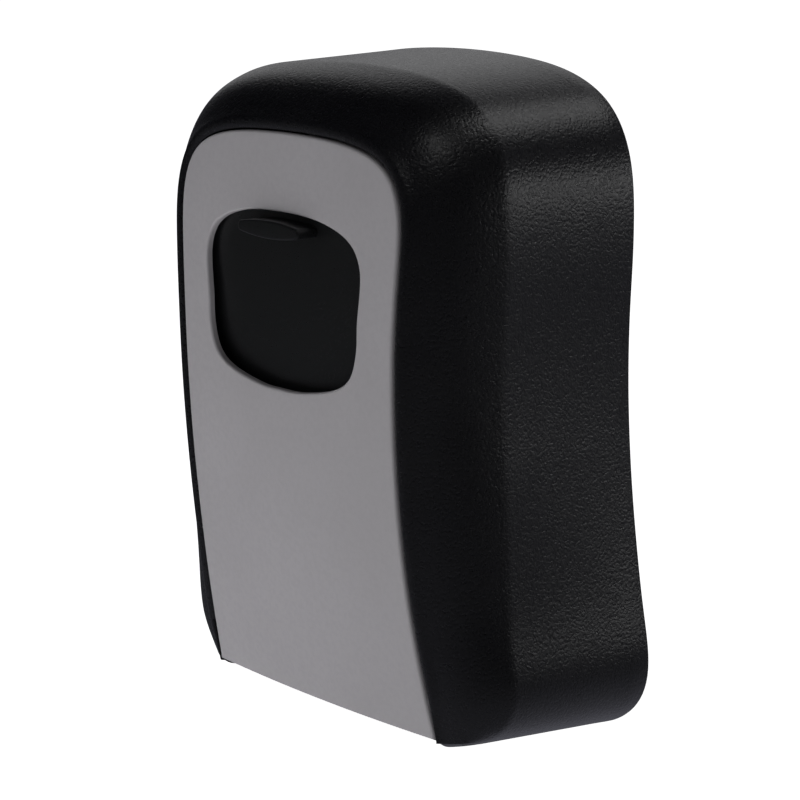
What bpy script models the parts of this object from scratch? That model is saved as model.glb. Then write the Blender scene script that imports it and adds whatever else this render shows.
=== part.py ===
"""Wall-mounted key lock box: a case with a bottom-hinged door that carries a sliding shutter and a four-dial lock.

Metres, +Z up. The origin is the centre of the back face, which lies on the wall (y = 0). The front faces -Y and +X
is to the right for someone who stands in front of it. Depths are measured from the wall and heights from the
bottom of the case.
"""

import math

import bmesh
import bpy
from mathutils import Matrix, Vector

MM = 0.001

# Case
CASE_HEIGHT = 120.0 * MM
CASE_WIDTH = 97.4 * MM
CASE_WALL = 3.0 * MM
BACK_THICKNESS = 3.0 * MM
BACK_CHAMFER = 0.5 * MM
SHOULDER_DEPTH = 27.55 * MM
SHOULDER_ROUND = 1.6 * MM
DRAFT = 1.04 * MM
FOOT_TAPER = 3.1 * MM
FOOT_TAPER_FROM = 56.0 * MM
FOOT_TAPER_FULL = 18.0 * MM
SLOPE_BULGE = 1.7 * MM
RIM_WIDTH = 2.73 * MM
RIM_DROP = 0.67 * MM
RIM_LIP = 2.6 * MM
RIM_CORNER = 9.0 * MM
DOOR_GAP = 0.35 * MM
LOOP_STEPS = 46

# Crowned front
FRONT_DEPTH = 43.3 * MM
FRONT_LEAN = 2.62 * MM
FRONT_CROWN = 5.93 * MM
FRONT_ROLL = 1.15 * MM
ROLL_AT = 30.0 * MM

# Mounting screws in the back wall
MOUNT_HOLE_X = 20.0 * MM
MOUNT_HOLE_LOW = 30.0 * MM
MOUNT_HOLE_HIGH = 88.0 * MM
MOUNT_HOLE_RADIUS = 2.4 * MM
MOUNT_SINK_RADIUS = 4.6 * MM

# Front panel
PANEL_SIDE_MARGIN = 17.2 * MM
PANEL_TOP_MARGIN = 12.4 * MM
PANEL_BOTTOM = 5.3 * MM
PANEL_THICKNESS = 1.2 * MM
PANEL_EDGE = 0.45 * MM
POST_RADIUS = 2.0 * MM
POST_X = 18.0 * MM

# Window
WINDOW_TOP_MARGIN = 13.5 * MM
WINDOW_HEIGHT = 31.0 * MM
WINDOW_HALF = 22.1 * MM

# Hinge
HINGE_DEPTH = 29.9 * MM
HINGE_HEIGHT = 6.6 * MM
HINGE_PIN_RADIUS = 1.25 * MM
HINGE_PIN_FIT = 0.32 * MM
HINGE_PIN_LENGTH = 9.0 * MM
HEEL_RADIUS = 6.2 * MM
HEEL_CLEARANCE = 0.45 * MM
HEEL_FOOT = 2.3 * MM
LUG_RADIUS = 2.5 * MM
LUG_GAP = 0.5 * MM

# Mechanism housing
HOUSING_SIDE_MARGIN = 5.5 * MM
HOUSING_WALL = 1.2 * MM
MASK_FRONT = 36.8 * MM
MASK_THICKNESS = 1.2 * MM
HOUSING_TOP_MARGIN = 4.6 * MM
HOUSING_HEIGHT = 53.0 * MM
COVER_THICKNESS = 1.5 * MM
FIT = 0.3 * MM

# Dials and code rings
DIALS = 4
DIAL_RADIUS = 10.0 * MM
DIAL_AXIS_DEPTH = 29.2 * MM
DIAL_BELOW_WINDOW_TOP = 9.6 * MM
DIGITS = 10
DIAL_GROOVE = 0.55 * MM
AXLE_RADIUS = 1.5 * MM
FLANGE_THICKNESS = 1.0 * MM
FORK_THICKNESS = 0.7 * MM
RESET_TRAVEL = 1.6 * MM
SPLINE_ROOT = 2.7 * MM
SPLINE_TIP = 3.3 * MM
SPLINE_FIT = 0.35 * MM
SPLINE_LENGTH = 1.3 * MM
GATE_WIDTH = 2.8 * MM
GATE_FLOOR = 3.45 * MM

# Release latch
LATCH_TRAVEL = 4.0 * MM
LATCH_SHEET = 1.6 * MM
TONGUE_HALF = 8.0 * MM
TONGUE_OVERLAP = 2.5 * MM
FENCE_WIDTH = 2.0 * MM
FENCE_STANDOFF = 1.8 * MM
LEVER_HALF = 8.0 * MM
SPRING_RADIUS = 2.0 * MM
SPRING_WIRE = 0.3 * MM
SPRING_TURNS = 6
SPRING_X = 17.5 * MM

# Shutter
SHUTTER_THICKNESS = 1.2 * MM
SHUTTER_HALF = 24.4 * MM
SHUTTER_OVERLAP = 1.3 * MM
SHUTTER_RECESS = 2.3 * MM
SHUTTER_LEAN = 0.026
SHUTTER_CROWN = 1.5
TAB_HALF = 8.7 * MM
TAB_HEIGHT = 3.2 * MM
TAB_END_HEIGHT = 1.9 * MM
TAB_STANDS_OUT = 2.4 * MM
TAB_BELOW_WINDOW_TOP = 2.9 * MM

SCREW_HEAD = 1.9 * MM
SCREW_SHANK = 0.9 * MM

# Derived positions
PANEL_HALF = CASE_WIDTH / 2 - PANEL_SIDE_MARGIN
PANEL_TOP = CASE_HEIGHT - PANEL_TOP_MARGIN
WINDOW_TOP = PANEL_TOP - WINDOW_TOP_MARGIN
WINDOW_BOTTOM = WINDOW_TOP - WINDOW_HEIGHT
HOUSING_HALF = PANEL_HALF - HOUSING_SIDE_MARGIN
HOUSING_INNER = HOUSING_HALF - HOUSING_WALL
HOUSING_TOP = PANEL_TOP - HOUSING_TOP_MARGIN
HOUSING_BOTTOM = HOUSING_TOP - HOUSING_HEIGHT
MASK_BACK = MASK_FRONT - MASK_THICKNESS
HOUSING_BACK = DIAL_AXIS_DEPTH - DIAL_RADIUS - 0.5 * MM
FLANGE_RADIUS = MASK_BACK - DIAL_AXIS_DEPTH - 0.4 * MM
DIAL_HEIGHT = WINDOW_TOP - DIAL_BELOW_WINDOW_TOP
RING_BAY = 5 * FIT + 2 * FORK_THICKNESS + FLANGE_THICKNESS + RESET_TRAVEL - FIT
DIAL_PITCH = (HOUSING_INNER * 2 - 8.8 * MM) / DIALS
DIAL_WIDTH = DIAL_PITCH - RING_BAY
FLANGE_START = DIAL_WIDTH / 2 + 2 * FIT + FORK_THICKNESS
FLANGE_MIDDLE = FLANGE_START + FLANGE_THICKNESS / 2
LATCH_SIDE = HOUSING_INNER - FIT
FENCE_TIP = DIAL_HEIGHT + FLANGE_RADIUS + FENCE_STANDOFF
LATCH_WEB = DIAL_HEIGHT + DIAL_RADIUS + LATCH_TRAVEL + 0.5 * MM
LATCH_BAR = DIAL_HEIGHT - DIAL_RADIUS - 8.5 * MM
LATCH_BAR_TOP = LATCH_BAR + 3.5 * MM
LATCH_BAR_DEPTH = DIAL_AXIS_DEPTH + 1.6 * MM
OPENING_TOP = PANEL_TOP + DOOR_GAP
TONGUE_TOP = OPENING_TOP + TONGUE_OVERLAP
SHUTTER_TOP = WINDOW_TOP + SHUTTER_OVERLAP
SHUTTER_BOTTOM = WINDOW_BOTTOM - SHUTTER_OVERLAP
SHUTTER_MIDDLE = (SHUTTER_TOP + SHUTTER_BOTTOM) / 2
POST_HIGH = HOUSING_TOP - 3.6 * MM
POST_LOW = PANEL_BOTTOM + 24.7 * MM

# Half outlines as shares of half width and height, from the top centre down the right side
CASE_SHAPE = [
    (0.0, 1.0), (0.4294, 0.990), (0.680, 0.9625), (0.8153, 0.919), (0.884, 0.850), (0.8932, 0.745),
    (0.8768, 0.635), (0.876, 0.520), (0.8994, 0.390), (0.9497, 0.245), (0.9969, 0.150), (0.998, 0.115),
    (0.9692, 0.080), (0.8953, 0.048), (0.7598, 0.0215), (0.43, 0.004), (0.0, 0.0),
]
PANEL_SHAPE = [
    (0.0, 1.0), (0.435, 0.995), (0.708, 0.980), (0.863, 0.957), (0.943, 0.924), (0.978, 0.884),
    (0.983, 0.839), (0.969, 0.770), (0.949, 0.650), (0.940, 0.443), (0.949, 0.260), (0.978, 0.090), (1.0, 0.0),
]
WINDOW_SHAPE = [
    (0.0, 1.0), (0.394, 0.987), (0.665, 0.948), (0.837, 0.897), (0.941, 0.829), (0.993, 0.735),
    (0.991, 0.626), (0.962, 0.450), (0.952, 0.300), (0.869, 0.145), (0.660, 0.060), (0.267, 0.006), (0.0, 0.0),
]


# ---------------------------------------------------------------- scene and placing


def clear_scene():
    for obj in list(bpy.data.objects):
        bpy.data.objects.remove(obj, do_unlink=True)


def new_collection(name, hidden=False):
    made = bpy.data.collections.new(name)
    made.hide_render = hidden
    bpy.context.scene.collection.children.link(made)
    return made


def at(x, depth, height):
    """A place from its offset to the right, its depth from the wall and its height above the case bottom."""
    return Vector((x, -depth, height - CASE_HEIGHT / 2))


def material(name, colour, roughness, metallic):
    made = bpy.data.materials.new(name)
    made.use_nodes = True
    shader = made.node_tree.nodes["Principled BSDF"]
    shader.inputs["Base Color"].default_value = (*colour, 1.0)
    shader.inputs["Roughness"].default_value = roughness
    shader.inputs["Metallic"].default_value = metallic
    made.diffuse_color = (*colour, 1.0)
    return made


def new_object(name, mesh, collection, coat=None):
    obj = bpy.data.objects.new(name, mesh)
    collection.objects.link(obj)
    if coat:
        mesh.materials.append(coat)
    if collection.hide_render:
        obj.hide_render = True
        obj.display_type = "WIRE"
    return obj


def frame(origin, first, second):
    """A placing whose local X and Y run along the two given directions."""
    first = Vector(first)
    second = Vector(second)
    third = first.cross(second)
    turned = Matrix((first, second, third)).transposed().to_4x4()
    return Matrix.Translation(origin) @ turned


ACROSS = ((0, -1, 0), (0, 0, 1))
FACING = ((1, 0, 0), (0, 0, 1))


# ---------------------------------------------------------------- solids


def smooth_shade(mesh, angle=0.6):
    for face in mesh.polygons:
        face.use_smooth = True
    mesh.set_sharp_from_angle(angle=angle)


def box(name, xs, depths, heights, collection, coat=None, bevel=0.0):
    size = Vector((xs[1] - xs[0], depths[1] - depths[0], heights[1] - heights[0]))
    bm = bmesh.new()
    bmesh.ops.create_cube(bm, size=1.0)
    bmesh.ops.scale(bm, vec=size, verts=bm.verts)
    mesh = bpy.data.meshes.new(name)
    bm.to_mesh(mesh)
    bm.free()
    obj = new_object(name, mesh, collection, coat)
    obj.location = at(sum(xs) / 2, sum(depths) / 2, sum(heights) / 2)
    if bevel:
        add_bevel(obj, bevel)
    return obj


def add_bevel(obj, width, segments=2):
    bevel = obj.modifiers.new("edges", "BEVEL")
    bevel.width = width
    bevel.segments = segments
    bevel.limit_method = "ANGLE"
    bevel.angle_limit = 0.6
    return bevel


def cylinder(name, start, end, radius, collection, coat=None, segments=32, end_radius=None):
    length = (end - start).length
    bm = bmesh.new()
    bmesh.ops.create_cone(
        bm,
        cap_ends=True,
        segments=segments,
        radius1=radius,
        radius2=radius if end_radius is None else end_radius,
        depth=length,
    )
    mesh = bpy.data.meshes.new(name)
    bm.to_mesh(mesh)
    bm.free()
    smooth_shade(mesh)
    obj = new_object(name, mesh, collection, coat)
    obj.location = (start + end) / 2
    obj.rotation_mode = "QUATERNION"
    obj.rotation_quaternion = Vector((0, 0, 1)).rotation_difference(end - start)
    return obj


def flat(name, outlines, thickness, placing, collection, coat=None):
    """A flat outline, with any further loops as holes, as thick as given and centred on its placing."""
    curve = bpy.data.curves.new(name, "CURVE")
    curve.dimensions = "2D"
    curve.fill_mode = "BOTH"
    curve.extrude = thickness / 2
    for outline in outlines:
        spline = curve.splines.new("POLY")
        spline.points.add(len(outline) - 1)
        for point, (u, v) in zip(spline.points, outline):
            point.co = (u, v, 0.0, 1.0)
        spline.use_cyclic_u = True
    drawn = bpy.data.objects.new(name + "_outline", curve)
    bpy.context.scene.collection.objects.link(drawn)
    graph = bpy.context.evaluated_depsgraph_get()
    mesh = bpy.data.meshes.new_from_object(drawn.evaluated_get(graph))
    mesh.name = name
    bpy.data.objects.remove(drawn, do_unlink=True)
    bm = bmesh.new()
    bm.from_mesh(mesh)
    bmesh.ops.remove_doubles(bm, verts=bm.verts, dist=1e-6)
    bmesh.ops.recalc_face_normals(bm, faces=bm.faces)
    bm.to_mesh(mesh)
    bm.free()
    mesh.materials.clear()
    smooth_shade(mesh, 0.5)
    obj = new_object(name, mesh, collection, coat)
    obj.matrix_world = placing
    return obj


def side_profile(name, outline, xs, collection, coat=None):
    """An outline of depth and height, extruded from one x to the other."""
    middle = sum(xs) / 2
    points = [(depth, height - CASE_HEIGHT / 2) for depth, height in outline]
    return flat(name, [points], xs[1] - xs[0], frame((middle, 0, 0), *ACROSS), collection, coat)


def turned(name, profile, base, direction, collection, coat=None, steps=32):
    """A profile of radius and distance along the axis, from the outer side's top down, turned about the axis."""
    bm = bmesh.new()
    points = [bm.verts.new((radius, 0.0, along)) for radius, along in profile]
    for first, second in zip(points, points[1:] + points[:1]):
        if first.co.x > 0 or second.co.x > 0:
            bm.edges.new((first, second))
    mesh = bpy.data.meshes.new(name)
    bm.to_mesh(mesh)
    bm.free()
    obj = new_object(name, mesh, collection, coat)
    obj.location = base
    obj.rotation_mode = "QUATERNION"
    obj.rotation_quaternion = Vector((0, 0, 1)).rotation_difference(Vector(direction))
    screw = obj.modifiers.new("turn", "SCREW")
    screw.steps = steps
    screw.render_steps = steps
    screw.use_merge_vertices = True
    screw.merge_threshold = 1e-6
    screw.use_smooth_shade = True
    return obj


def join(obj, other, operation):
    change = obj.modifiers.new(other.name, "BOOLEAN")
    change.operation = operation
    change.solver = "EXACT"
    change.object = other


def cut(obj, *others):
    for other in others:
        join(obj, other, "DIFFERENCE")


def add(obj, *others):
    for other in others:
        join(obj, other, "UNION")


def loft(name, rings, collection, coat=None, endless=False):
    """A skin over rings of equal length. Its ends are capped, or the last ring meets the first."""
    bm = bmesh.new()
    rows = [[bm.verts.new(point) for point in ring] for ring in rings]
    pairs = list(zip(rows, rows[1:]))
    if endless:
        pairs.append((rows[-1], rows[0]))
    for lower, upper in pairs:
        for i in range(len(lower)):
            j = (i + 1) % len(lower)
            bm.faces.new((lower[i], lower[j], upper[j], upper[i]))
    if not endless:
        bm.faces.new(list(reversed(rows[0])))
        bm.faces.new(rows[-1])
    bmesh.ops.recalc_face_normals(bm, faces=bm.faces)
    mesh = bpy.data.meshes.new(name)
    bm.to_mesh(mesh)
    bm.free()
    smooth_shade(mesh)
    return new_object(name, mesh, collection, coat)


# ---------------------------------------------------------------- outlines


def catmull(a, b, c, d, t):
    return 0.5 * (
        2 * b + (c - a) * t + (2 * a - 5 * b + 4 * c - d) * t**2 + (3 * b - a - 3 * c + d) * t**3
    )


def even_points(fine, count):
    """The given number of equal steps along a finely drawn line."""
    lengths = [0.0]
    for a, b in zip(fine, fine[1:]):
        lengths.append(lengths[-1] + (b - a).length)
    out = []
    k = 0
    for i in range(count + 1):
        wanted = lengths[-1] * i / count
        while k < len(fine) - 2 and lengths[k + 1] < wanted:
            k += 1
        share = (wanted - lengths[k]) / max(lengths[k + 1] - lengths[k], 1e-12)
        out.append(fine[k].lerp(fine[k + 1], min(max(share, 0.0), 1.0)))
    return out


def smooth_line(points, before, after, count):
    around = [before, *points, after]
    fine = []
    for a, b, c, d in zip(around, around[1:], around[2:], around[3:]):
        fine += [catmull(a, b, c, d, i / 24) for i in range(24)]
    fine.append(points[-1])
    return even_points(fine, count)


def mirrored_x(point):
    return Vector((-point.x, point.y))


def closed_half(half):
    """The whole loop from its right half, clockwise from the top centre."""
    return half + [mirrored_x(p) for p in reversed(half[1:-1])]


def rounded_loop(shape, half_width, bottom, height, count=LOOP_STEPS):
    points = [Vector((x * half_width, bottom + z * height)) for x, z in shape]
    half = smooth_line(points, mirrored_x(points[1]), mirrored_x(points[-2]), count)
    half[0].x = 0.0
    half[-1].x = 0.0
    return closed_half(half)


def panel_loop(grow=0.0, corner=None):
    """The door panel's outline, grown outwards, with a bottom edge that is nearly straight."""
    points = [Vector((x * PANEL_HALF, PANEL_BOTTOM + z * (PANEL_TOP - PANEL_BOTTOM))) for x, z in PANEL_SHAPE]
    last = points[-1]
    bottom_steps = round(LOOP_STEPS * 0.22)
    side = smooth_line(points, mirrored_x(points[1]), last * 2 - points[-2], LOOP_STEPS - bottom_steps)
    foot = [last.lerp(Vector((0.0, last.y)), i / bottom_steps) for i in range(1, bottom_steps + 1)]
    half = side + foot
    half[0].x = 0.0
    half[-1].x = 0.0
    return grown(closed_half(half), grow)


def grown(loop, by):
    """A loop moved outwards by the given distance."""
    if not by:
        return [p.copy() for p in loop]
    out = []
    for i, point in enumerate(loop):
        along = (loop[(i + 1) % len(loop)] - loop[i - 1]).normalized()
        out.append(point + Vector((-along.y, along.x)) * by)
    return out


def front(x, height):
    """Depth of the door's crowned front."""
    share = height / (CASE_HEIGHT / 2) - 1
    return FRONT_DEPTH + FRONT_LEAN * share - FRONT_CROWN * share**2 - FRONT_ROLL * (x / ROLL_AT) ** 2


def on_front(loop, behind):
    return [at(p.x, front(p.x, p.y) - behind, p.y) for p in loop]


def at_depth(loop, depth):
    return [at(p.x, depth, p.y) for p in loop]


# ---------------------------------------------------------------- case


def slope_ring(shoulder, rim, share, inside=0.0):
    """A ring on the rounded slope between the shoulder and the rim, or the given distance inside it."""
    out = []
    for s, r in zip(shoulder, rim):
        rise = front(r.x, r.y) - RIM_DROP - SHOULDER_DEPTH
        run = (s - r).length
        span = math.hypot(rise, run)
        outward = (s - r) / max(run, 1e-9)
        lift = SLOPE_BULGE * math.sin(math.pi * share) - inside
        flat_point = s.lerp(r, share) + outward * (lift * rise / span)
        depth = SHOULDER_DEPTH + rise * share + lift * run / span
        out.append(at(flat_point.x, depth, flat_point.y))
    return out


def shoulder_loop(outer):
    """The case's outline where the wall meets the slope: drafted all round, and drawn in further near the foot."""
    out = []
    for p in grown(outer, -DRAFT):
        share = (FOOT_TAPER_FROM - p.y) / (FOOT_TAPER_FROM - FOOT_TAPER_FULL)
        share = min(max(share, 0.0), 1.0)
        pull = FOOT_TAPER * share * share * (3 - 2 * share)
        out.append(Vector((p.x * (1 - pull / (CASE_WIDTH / 2)), p.y)))
    return out


def rim_loop():
    """The rim's outer edge. It draws in to the opening at the two foot corners."""
    corner = Vector((PANEL_HALF, PANEL_BOTTOM))
    out = []
    for near, far in zip(panel_loop(DOOR_GAP), panel_loop(RIM_WIDTH)):
        away = min((Vector((abs(near.x), near.y)) - corner).length / RIM_CORNER, 1.0)
        out.append(near.lerp(far, 0.2 + 0.8 * away * away * (3 - 2 * away)))
    return out


def between(outer, inner, share):
    return [a.lerp(b, share) for a, b in zip(outer, inner)]


def case_rings():
    outer = rounded_loop(CASE_SHAPE, CASE_WIDTH / 2, 0.0, CASE_HEIGHT)
    shoulder = shoulder_loop(outer)
    rim = rim_loop()
    straight = SHOULDER_DEPTH - SHOULDER_ROUND
    opening = panel_loop(DOOR_GAP)
    cavity = grown(shoulder, -CASE_WALL)
    rings = [at_depth(grown(outer, -BACK_CHAMFER), 0.0), at_depth(outer, BACK_CHAMFER)]
    rings.append(at_depth(between(outer, shoulder, straight / SHOULDER_DEPTH), straight))
    rings.append(at_depth(grown(shoulder, -DRAFT * 0.1), SHOULDER_DEPTH - SHOULDER_ROUND * 0.35))
    rings += [slope_ring(shoulder, rim, share) for share in (0.08, 0.28, 0.52, 0.76, 1.0)]
    rings.append(on_front(between(rim, opening, 0.2), RIM_DROP * 0.35))
    rings.append(on_front(between(rim, opening, 0.55), 0.0))
    rings.append(on_front(between(rim, opening, 0.82), RIM_DROP * 0.3))
    rings.append(on_front(opening, RIM_DROP))
    rings.append(on_front(opening, RIM_LIP))
    rings += [slope_ring(shoulder, rim, share, CASE_WALL) for share in (0.78, 0.45)]
    rings.append(at_depth(cavity, SHOULDER_DEPTH - CASE_WALL))
    rings.append(at_depth(cavity, BACK_THICKNESS))
    return rings


def door_way_outline():
    """A turn about the hinge behind, and straight out in front."""
    radius = HEEL_RADIUS + HEEL_CLEARANCE
    far = 60 * MM
    points = [(far, -10 * MM), (HINGE_DEPTH, -10 * MM)]
    for i in range(25):
        angle = math.pi * (1.5 - i / 24)
        points.append((HINGE_DEPTH + radius * math.cos(angle), HINGE_HEIGHT + radius * math.sin(angle)))
    points.append((far, HINGE_HEIGHT + radius))
    return points


def cut_door_way(case, cutters):
    """Opens the case's lower front, so that the door's heel can turn in it."""
    half = PANEL_HALF + DOOR_GAP
    cut(case, side_profile("door_way", door_way_outline(), (-half, half), cutters))


def add_lugs(case, cutters):
    """Bearings for the door's pins, one at each side of the opening."""
    inner = heel_half() + LUG_GAP
    for side, name in ((-1, "left"), (1, "right")):
        start = at(side * inner, HINGE_DEPTH, HINGE_HEIGHT)
        end = at(side * (PANEL_HALF + 5.3 * MM), HINGE_DEPTH, HINGE_HEIGHT)
        lug = cylinder("lug_" + name, start, end, LUG_RADIUS, cutters, segments=28)
        add(case, lug)
        bore_start = at(side * (inner - 2 * MM), HINGE_DEPTH, HINGE_HEIGHT)
        bore_end = at(side * pin_end(), HINGE_DEPTH, HINGE_HEIGHT)
        bore = cylinder("lug_bore_" + name, bore_start, bore_end, HINGE_PIN_RADIUS + HINGE_PIN_FIT, cutters)
        cut(case, bore)


def heel_half():
    return PANEL_HALF - 3.1 * MM


def pin_end():
    return heel_half() + LUG_GAP + 2.6 * MM


def strike_outline():
    """The block behind the top of the opening that the latch tongue catches on."""
    back = tongue_front() + 0.4 * MM
    low = OPENING_TOP + 0.15 * MM
    return [
        (back, low),
        (front(0, PANEL_TOP) - RIM_LIP - 1.2 * MM, low),
        (front(0, PANEL_TOP) - RIM_LIP - 2.4 * MM, low + 4.6 * MM),
        (back, low + 7.2 * MM),
    ]


def build_case(parts, cutters, coat):
    case = loft("case_body", case_rings(), parts, coat)
    cut_door_way(case, cutters)
    add_lugs(case, cutters)
    add(case, side_profile("strike", strike_outline(), (-TONGUE_HALF - 2 * MM, TONGUE_HALF + 2 * MM), cutters))
    for x in (-MOUNT_HOLE_X, MOUNT_HOLE_X):
        for z in (MOUNT_HOLE_LOW, MOUNT_HOLE_HIGH):
            label = f"{'left' if x < 0 else 'right'}_{'low' if z == MOUNT_HOLE_LOW else 'high'}"
            hole = cylinder(
                "mount_hole_" + label,
                at(x, -1 * MM, z),
                at(x, BACK_THICKNESS + 1 * MM, z),
                MOUNT_HOLE_RADIUS,
                cutters,
                segments=24,
            )
            sink = cylinder(
                "mount_sink_" + label,
                at(x, BACK_THICKNESS - 2.0 * MM, z),
                at(x, BACK_THICKNESS + 0.4 * MM, z),
                MOUNT_HOLE_RADIUS,
                cutters,
                segments=24,
                end_radius=MOUNT_SINK_RADIUS,
            )
            cut(case, hole, sink)
    return case


# ---------------------------------------------------------------- door


def panel_rings():
    outer = panel_loop()
    window = window_loop()
    centre_rings = []
    for share in (0.25, 0.5, 0.75):
        centre_rings.append([o.lerp(w, share) for o, w in zip(outer, window)])
    inner_edge = grown(window, PANEL_EDGE)
    outer_edge = grown(outer, -PANEL_EDGE)
    rings = [on_front(outer, PANEL_THICKNESS), on_front(outer, PANEL_EDGE)]
    rings.append(on_front(grown(outer, -PANEL_EDGE * 0.3), PANEL_EDGE * 0.3))
    rings.append(on_front(outer_edge, 0.0))
    rings += [on_front(ring, 0.0) for ring in centre_rings]
    rings.append(on_front(inner_edge, 0.0))
    rings.append(on_front(grown(window, PANEL_EDGE * 0.3), PANEL_EDGE * 0.3))
    rings.append(on_front(window, PANEL_EDGE))
    rings.append(on_front(window, PANEL_THICKNESS))
    rings += [on_front(ring, PANEL_THICKNESS) for ring in reversed(centre_rings)]
    return rings


def window_loop():
    """The window's outline, with its points spread as the panel's are."""
    return rounded_loop(WINDOW_SHAPE, WINDOW_HALF, WINDOW_BOTTOM, WINDOW_HEIGHT)


def post_places():
    return [
        (-POST_X, POST_LOW, "left_low"),
        (POST_X, POST_LOW, "right_low"),
        (-POST_X, POST_HIGH, "left_high"),
        (POST_X, POST_HIGH, "right_high"),
    ]


def build_panel(parts, cutters, coat):
    panel = loft("door_panel", panel_rings(), parts, coat, endless=True)
    for x, z, label in post_places():
        base = at(x, MASK_FRONT + FIT, z)
        top = at(x, front(x, z) - PANEL_THICKNESS * 0.5, z)
        add(panel, cylinder("post_" + label, base, top, POST_RADIUS, cutters, segments=20))
        hole = cylinder(
            "post_hole_" + label,
            at(x, MASK_FRONT - 1 * MM, z),
            at(x, front(x, z) - PANEL_THICKNESS - 0.2 * MM, z),
            SCREW_SHANK + FIT,
            cutters,
            segments=16,
        )
        cut(panel, hole)
    return panel


def skirt_depth(height):
    """How far forward the housing may come behind the panel."""
    return front(heel_half(), height) - PANEL_THICKNESS - 0.4 * MM


def skirt_outline():
    """Side profile of the door's lower wall and of its hinge heel."""
    top = HOUSING_BOTTOM + 2 * HOUSING_WALL
    wall = 2.0 * MM
    ahead = [(MASK_FRONT, top)]
    for i in range(7):
        height = POST_LOW - 4.0 * MM - (POST_LOW - 4.0 * MM - PANEL_BOTTOM) * i / 6
        ahead.append((min(MASK_FRONT, skirt_depth(height)), height))
    low_front = ahead[-1]
    under = [(HINGE_DEPTH - 1.0 * MM, HEEL_FOOT + 0.1 * MM)]
    start = -math.asin((HINGE_HEIGHT - HEEL_FOOT) / HEEL_RADIUS)
    arc = []
    for i in range(9):
        angle = math.pi - start + (-math.pi / 2 - (-start)) * i / 8
        arc.append(
            (HINGE_DEPTH + HEEL_RADIUS * math.cos(angle), HINGE_HEIGHT + HEEL_RADIUS * math.sin(angle))
        )
    behind = [(MASK_FRONT - wall - 2.2 * MM, HINGE_HEIGHT + HEEL_RADIUS + 5 * MM)]
    behind += [(MASK_FRONT - wall, POST_LOW - 4 * MM), (MASK_FRONT - wall, top)]
    assert low_front[0] > under[0][0]
    return ahead + under + arc + behind


def rib_outline():
    return [
        (MASK_BACK, HOUSING_BOTTOM + HOUSING_WALL),
        (MASK_BACK, POST_LOW - 3 * MM),
        (HINGE_DEPTH + 1.0 * MM, HINGE_HEIGHT + 2 * MM),
        (HINGE_DEPTH - 1.6 * MM, HINGE_HEIGHT + HEEL_RADIUS - 0.5 * MM),
        (HOUSING_BACK + 2 * MM, HOUSING_BOTTOM + HOUSING_WALL),
    ]


def rail_outline():
    """The raised edge that the shutter runs beside."""
    low = SHUTTER_BOTTOM - shutter_travel() - 1 * MM
    high = SHUTTER_TOP + 1.6 * MM
    foot = MASK_BACK + 0.5 * MM
    points = [(foot, high), (foot, low)]
    for i in range(5):
        height = low + (high - low) * i / 4
        points.append((front(HOUSING_HALF, height) - PANEL_THICKNESS - 0.5 * MM, height))
    return points


def shutter_travel():
    return WINDOW_HEIGHT - 2 * TAB_BELOW_WINDOW_TOP + 0.8 * MM


def build_housing(parts, cutters, coat):
    housing = box(
        "door_housing",
        (-HOUSING_HALF, HOUSING_HALF),
        (HOUSING_BACK, MASK_FRONT),
        (HOUSING_BOTTOM, HOUSING_TOP),
        parts,
        coat,
    )
    inside = box(
        "housing_inside",
        (-HOUSING_INNER, HOUSING_INNER),
        (HOUSING_BACK - 1 * MM, MASK_BACK),
        (HOUSING_BOTTOM + HOUSING_WALL, HOUSING_TOP - HOUSING_WALL),
        cutters,
    )
    cut(housing, inside)
    half = heel_half()
    add(housing, side_profile("skirt", skirt_outline(), (-half, half), cutters))
    for side, name in ((-1, "left"), (1, "right")):
        edges = sorted((side * HOUSING_INNER, side * HOUSING_HALF))
        add(housing, side_profile("rib_" + name, rib_outline(), edges, cutters))
        rail = sorted((side * (SHUTTER_HALF + 0.6 * MM), side * (SHUTTER_HALF + 2.0 * MM)))
        add(housing, side_profile("rail_" + name, rail_outline(), rail, cutters))
        pin_start = at(side * (pin_end() - HINGE_PIN_LENGTH - 1.5 * MM), HINGE_DEPTH, HINGE_HEIGHT)
        pin_stop = at(side * (half + 1 * MM), HINGE_DEPTH, HINGE_HEIGHT)
        pin_way = cylinder(
            "pin_way_" + name, pin_start, pin_stop, HINGE_PIN_RADIUS + HINGE_PIN_FIT, cutters
        )
        cut(housing, pin_way)
    add_bosses(housing, cutters)
    cut_housing_openings(housing, cutters)
    return housing


def cover_screw_places():
    x = HOUSING_INNER - 2.6 * MM
    low = HOUSING_BOTTOM + 4.0 * MM
    high = HOUSING_TOP - 4.2 * MM
    return [(-x, low, "left_low"), (x, low, "right_low"), (-x, high, "left_high"), (x, high, "right_high")]


def add_bosses(housing, cutters):
    """Threaded bosses for the back cover."""
    for x, z, label in cover_screw_places():
        reach = sorted((x - math.copysign(2.2 * MM, x), math.copysign(HOUSING_INNER + 0.4 * MM, x)))
        boss = box(
            "boss_" + label,
            reach,
            (HOUSING_BACK, HOUSING_BACK + 5.6 * MM),
            (z - 2.4 * MM, z + 2.4 * MM),
            cutters,
        )
        add(housing, boss)
    for x, z, label in cover_screw_places():
        hole = cylinder(
            "boss_hole_" + label,
            at(x, HOUSING_BACK - 1 * MM, z),
            at(x, HOUSING_BACK + 5.0 * MM, z),
            SCREW_SHANK + FIT,
            cutters,
            segments=16,
        )
        cut(housing, hole)


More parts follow.
